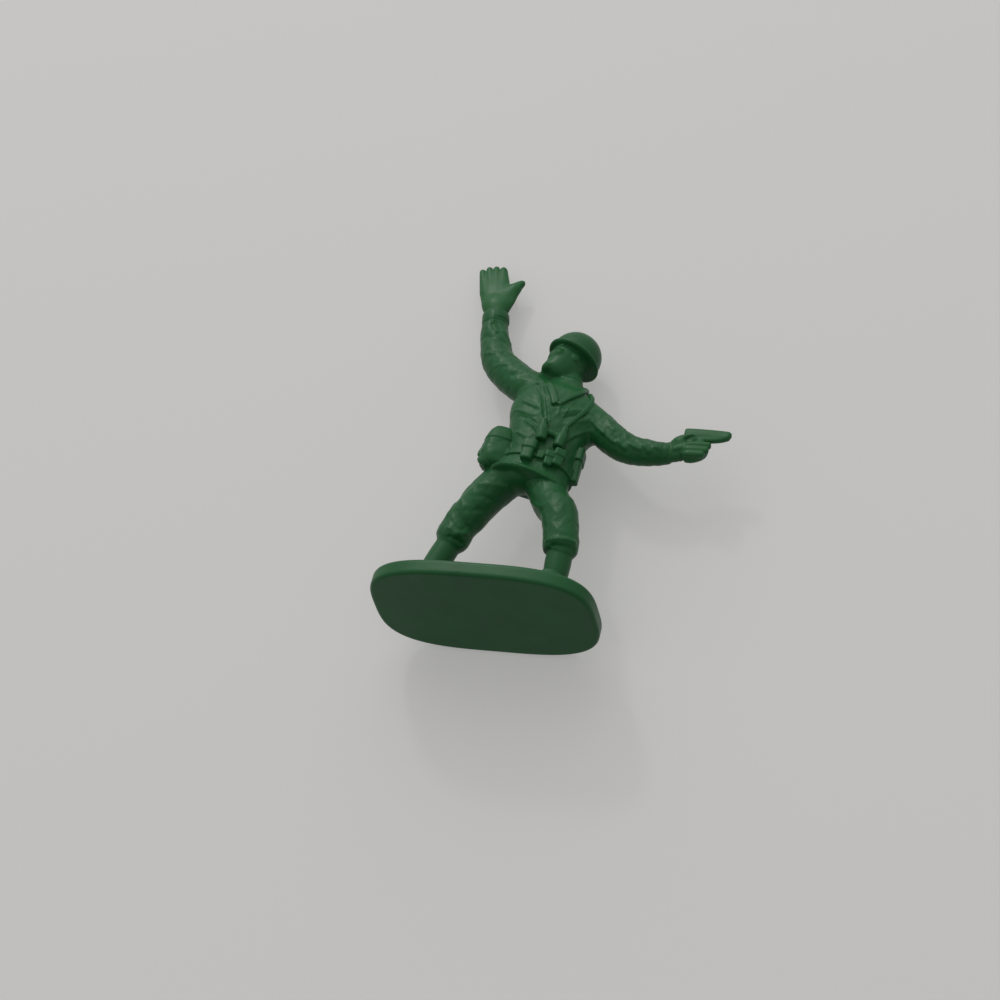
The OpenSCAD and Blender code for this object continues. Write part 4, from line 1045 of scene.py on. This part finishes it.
def cast(context, nodes, thin=False):
    """Makes the pieces for these nodes, puts them on the frame and gives them the plastic."""
    forms = Soldier(in_millimetres(context.scene.soldier_sizes)).forms()
    for node in nodes:
        step = BROAD_STEP if node in BROAD_NODES else FINE_STEP
        form = forms[node][0]
        low, high = form.low - MARGIN, form.high + MARGIN
        near = {
            name: entry for name, entry in forms.items()
            if np.all(entry[0].low < high + FAR) and np.all(entry[0].high > low - FAR)
        }
        field = moulded(near, node)
        vertices, quads = largest_shell(*surface_net(samples_of(field, low, high, step), low, step))
        piece = add_mesh(node + "_moulding", drawn_to(field, vertices, step), quads)
        piece.data.materials.append(plastic(context, thin))
        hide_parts(node)
        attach(piece, "root")


# Materials

def add_node(tree, kind, settings=(), links=()):
    """Adds a shader node with its settings and links. A setting that is an input's name or number sets that
    input."""
    made = tree.nodes.new(kind)
    for name, value in dict(settings).items():
        if isinstance(name, int) or name in made.inputs:
            made.inputs[name].default_value = value
        else:
            setattr(made, name, value)
    for name, source in dict(links).items():
        tree.links.new(source, made.inputs[name])
    return made


def plastic(context, thin):
    """Soft polyethylene, moulded and coloured through: a dark green with a waxy half gloss, faint cloudiness
    in the colour, uneven gloss and the fine grain of the mould."""
    name = "moulded_polyethylene_thin" if thin else "moulded_polyethylene"
    if name in bpy.data.materials:
        return bpy.data.materials[name]
    colours = context.scene.soldier_colours
    # The thin pieces take a lighter copy of the green: painted light that stands in for light shining through
    # thin plastic
    base = np.array(colours.plastic_thin if thin else colours.plastic)
    material = bpy.data.materials.new(name)
    material.use_nodes = True
    tree = material.node_tree
    shader = tree.nodes["Principled BSDF"]
    shader.inputs["IOR"].default_value = 1.51
    shader.inputs["Specular IOR Level"].default_value = 0.16
    place = {"Vector": add_node(tree, "ShaderNodeTexCoord").outputs["Object"]}
    # Clouds about 4 mm across in the colour
    clouds = add_node(tree, "ShaderNodeTexNoise", {"Scale": 1 / (4 * MM), "Detail": 3.0}, place)
    tint = add_node(tree, "ShaderNodeValToRGB", links={"Fac": clouds.outputs["Fac"]})
    for stop, position, share in zip(tint.color_ramp.elements, (0.3, 0.7), (0.9, 1.1)):
        stop.position, stop.color = position, (*base * share, 1)
    tree.links.new(tint.outputs["Color"], shader.inputs["Base Color"])
    # Gloss that changes over about 1.5 mm
    gloss = add_node(tree, "ShaderNodeTexNoise", {"Scale": 1 / (1.5 * MM), "Detail": 2.0}, place)
    rough = add_node(
        tree, "ShaderNodeMapRange", {"To Min": 0.3, "To Max": 0.46}, {"Value": gloss.outputs["Fac"]}
    )
    tree.links.new(rough.outputs["Result"], shader.inputs["Roughness"])
    # Grain of the mould. A real one is finer than a pixel: this one is 0.25 mm wide, so that it shows
    grain = add_node(tree, "ShaderNodeTexNoise", {"Scale": 1 / (0.25 * MM), "Detail": 2.0}, place)
    bump = add_node(
        tree, "ShaderNodeBump", {"Strength": 0.4, "Distance": 0.03 * MM}, {"Height": grain.outputs["Fac"]}
    )
    tree.links.new(bump.outputs["Normal"], shader.inputs["Normal"])
    return material


# Operators

class CastBase(bpy.types.Operator):
    """Oval base with a flat underside"""

    bl_idname = "soldier.base"
    bl_label = "Base"

    def execute(self, context):
        cast(context, ["base"])
        return {"FINISHED"}


class CastLegs(bpy.types.Operator):
    """Boots and bloused trouser legs"""

    bl_idname = "soldier.legs"
    bl_label = "Legs"

    def execute(self, context):
        cast(context, ["right_boot", "left_boot", "right_trouser_leg", "left_trouser_leg"])
        return {"FINISHED"}


class CastJacket(bpy.types.Operator):
    """Jacket and its open collar"""

    bl_idname = "soldier.jacket"
    bl_label = "Jacket"

    def execute(self, context):
        cast(context, ["jacket", "collar"])
        return {"FINISHED"}


class CastHead(bpy.types.Operator):
    """Neck, head and helmet"""

    bl_idname = "soldier.head"
    bl_label = "Head"

    def execute(self, context):
        cast(context, ["neck", "head", "helmet"])
        return {"FINISHED"}


class CastArms(bpy.types.Operator):
    """Sleeves with their cuffs"""

    bl_idname = "soldier.arms"
    bl_label = "Arms"

    def execute(self, context):
        cast(context, ["right_sleeve", "right_cuff", "left_sleeve", "left_cuff"])
        return {"FINISHED"}


class CastHands(bpy.types.Operator):
    """Open right hand with its thumb, closed left hand"""

    bl_idname = "soldier.hands"
    bl_label = "Hands"

    def execute(self, context):
        cast(context, ["right_hand", "right_thumb", "left_hand"], thin=True)
        return {"FINISHED"}


class CastPistol(bpy.types.Operator):
    """Pistol in the left hand"""

    bl_idname = "soldier.pistol"
    bl_label = "Pistol"

    def execute(self, context):
        cast(context, ["pistol"], thin=True)
        return {"FINISHED"}


class CastBelt(bpy.types.Operator):
    """Belt with buckle, pouches, canteen and holster"""

    bl_idname = "soldier.belt"
    bl_label = "Belt and kit"

    def execute(self, context):
        cast(context, [
            "belt", "belt_buckle", "right_pouch", "left_inner_pouch", "left_outer_pouch", "canteen",
            "canteen_flap", "holster", "holster_flap",
        ])
        return {"FINISHED"}


class CastBinoculars(bpy.types.Operator):
    """Binoculars on the chest with their neck strap"""

    bl_idname = "soldier.binoculars"
    bl_label = "Binoculars"

    def execute(self, context):
        cast(context, [
            "binocular_right_barrel", "binocular_left_barrel", "binocular_bridge", "binocular_strap",
        ])
        return {"FINISHED"}


class SetStage(bpy.types.Operator):
    """Pale floor behind the figure's back, soft studio light and the camera"""

    bl_idname = "soldier.stage"
    bl_label = "Stage"

    # Camera: degrees below the level, toward the figure's left and of roll, millimetres from the origin,
    # focal length in pixels of a picture 1000 wide, and the pixel where the origin shows
    below, aside, roll, distance, focal, picture = 33, 20, 15.2, 260, 3030, 1000
    origin_pixel = (483.7, 615.1)
    # Floor: millimetres behind the base's rear edge, degrees by which it leans forward, and half its side
    gap, lean, reach = 0.35, 7.5, 400

    def stand(self, context, name, data, axes, where):
        """Adds a camera or lamp with its right, up and back along the axes, at a place in millimetres."""
        thing = bpy.data.objects.new(name, data)
        thing.matrix_world = Matrix(np.column_stack([*axes, where * MM]).tolist() + [[0, 0, 0, 1]])
        context.scene.collection.objects.link(thing)
        return thing

    def camera(self, context):
        """Camera that looks up at the figure from below. Its place is back times the distance, moved so that
        the origin shows at its pixel: pixels off the middle, over the focal length, times the distance."""
        below, aside, roll = (math.radians(v) for v in (self.below, self.aside, self.roll))
        level = np.array([math.sin(aside), -math.cos(aside), 0])
        back = level * math.cos(below) - UP * math.sin(below)
        right = unit(np.cross(-back, UP))
        up = np.cross(right, -back)
        right, up = math.cos(roll) * right + math.sin(roll) * up, math.cos(roll) * up - math.sin(roll) * right
        off = (np.array(self.origin_pixel) - self.picture / 2) / self.focal * self.distance
        data = bpy.data.cameras.new("photo_camera")
        data.sensor_width = 36
        data.lens = data.sensor_width * self.focal / self.picture
        data.clip_start, data.clip_end = 0.01, 10
        where = back * self.distance - right * off[0] + up * off[1]
        context.scene.camera = self.stand(context, "photo_camera", data, (right, up, back), where)

    def floor(self, context):
        """The figure lies on its back: the floor runs just behind the base and leans to the raised hand. Only
        the camera and reflections see it, and only from its front, so that light and view reach the figure's
        back."""
        lean = math.radians(self.lean)
        start = np.array([0, context.scene.soldier_sizes.base_w / 2 / MM + self.gap, 0])
        sides = np.array([[1, 0, 0], [0, -math.sin(lean), math.cos(lean)]]) * self.reach
        corners = start + np.array([[-1, -1], [1, -1], [1, 1], [-1, 1]]) @ sides
        floor = add_mesh("floor", corners, np.array([[0, 1, 2, 3]]))
        material = bpy.data.materials.new("pale_paper")
        material.use_nodes = True
        tree = material.node_tree
        shader = tree.nodes["Principled BSDF"]
        pale = np.array(context.scene.soldier_colours.floor)
        shader.inputs["Base Color"].default_value = (*pale * 0.5, 1)
        shader.inputs["Roughness"].default_value = 0.9
        # Paper lit through from behind as well, which keeps the figure's shadow pale
        shader.inputs["Emission Color"].default_value = (*pale, 1)
        shader.inputs["Emission Strength"].default_value = 0.55
        clear = add_node(tree, "ShaderNodeBsdfTransparent").outputs["BSDF"]
        path = add_node(tree, "ShaderNodeLightPath").outputs
        sight = path["Is Camera Ray"]
        for ray in ("Is Glossy Ray", "Is Transmission Ray"):
            either = add_node(tree, "ShaderNodeMath", {"operation": "MAXIMUM"}, {0: sight, 1: path[ray]})
            sight = either.outputs["Value"]
        seen = add_node(tree, "ShaderNodeMixShader", links={0: sight, 1: clear, 2: shader.outputs["BSDF"]})
        rear = add_node(tree, "ShaderNodeNewGeometry").outputs["Backfacing"]
        front = add_node(tree, "ShaderNodeMixShader", links={0: rear, 1: seen.outputs["Shader"], 2: clear})
        tree.links.new(front.outputs["Shader"], tree.nodes["Material Output"].inputs["Surface"])
        floor.data.materials.append(material)

    def lamp(self, context, name, where, size, power):
        """Round lamp that faces the origin, with its place and size in millimetres and its power in watts."""
        data = bpy.data.lights.new(name, "AREA")
        data.shape, data.size, data.energy = "DISK", size * MM, power
        where = np.array(where, float)
        back = unit(where)
        right = unit(np.cross(UP, back))
        self.stand(context, name, data, (right, np.cross(back, right), back), where)

    def world(self, context):
        """White sky, brightest above and before the figure, dim behind and below it: its strength goes with
        the cosine of the angle to the brightest direction."""
        world = context.scene.world or bpy.data.worlds.new("studio")
        context.scene.world = world
        world.use_nodes = True
        tree = world.node_tree
        background = tree.nodes["Background"]
        background.inputs["Color"].default_value = (1, 1, 1, 1)
        way = add_node(tree, "ShaderNodeTexCoord").outputs["Generated"]
        brightest = {"operation": "DOT_PRODUCT", 1: (-0.3, -0.6, 0.74)}
        facing = add_node(tree, "ShaderNodeVectorMath", brightest, {0: way}).outputs["Value"]
        strength = {"From Min": -1.0, "From Max": 1.0, "To Min": 0.17, "To Max": 0.9}
        sky = add_node(tree, "ShaderNodeMapRange", strength, {"Value": facing})
        tree.links.new(sky.outputs["Result"], background.inputs["Strength"])

    def execute(self, context):
        self.camera(context)
        self.floor(context)
        self.lamp(context, "soft_light", (-100, -340, 300), 460, 0.62)
        self.lamp(context, "glint_light", (-140, -290, 280), 50, 0.3)
        self.world(context)
        context.scene.view_settings.view_transform = "Standard"
        return {"FINISHED"}


class SoldierPanel(bpy.types.Panel):
    """Lists the pieces, the stage and the sizes"""

    bl_idname = "VIEW3D_PT_soldier"
    bl_label = "Toy soldier"
    bl_space_type = "VIEW_3D"
    bl_region_type = "UI"
    bl_category = "Toy soldier"

    def draw(self, context):
        for operator in OPERATORS:
            self.layout.operator(operator.bl_idname)
        for group in (context.scene.soldier_sizes, context.scene.soldier_colours):
            for name in group.bl_rna.properties.keys():
                if name not in ("rna_type", "name"):
                    self.layout.prop(group, name)


OPERATORS = (CastBase, CastLegs, CastJacket, CastHead, CastArms, CastHands, CastPistol, CastBelt,
             CastBinoculars, SetStage)
CLASSES = (SoldierSizes, SoldierColours, *OPERATORS, SoldierPanel)


def register():
    for cls in CLASSES:
        bpy.utils.register_class(cls)
    bpy.types.Scene.soldier_sizes = bpy.props.PointerProperty(type=SoldierSizes)
    bpy.types.Scene.soldier_colours = bpy.props.PointerProperty(type=SoldierColours)


def unregister():
    del bpy.types.Scene.soldier_sizes, bpy.types.Scene.soldier_colours
    for cls in reversed(CLASSES):
        bpy.utils.unregister_class(cls)


def main():
    register()
    for operator in OPERATORS:
        group, name = operator.bl_idname.split(".")
        getattr(getattr(bpy.ops, group), name)()


if __name__ == "__main__":
    main()
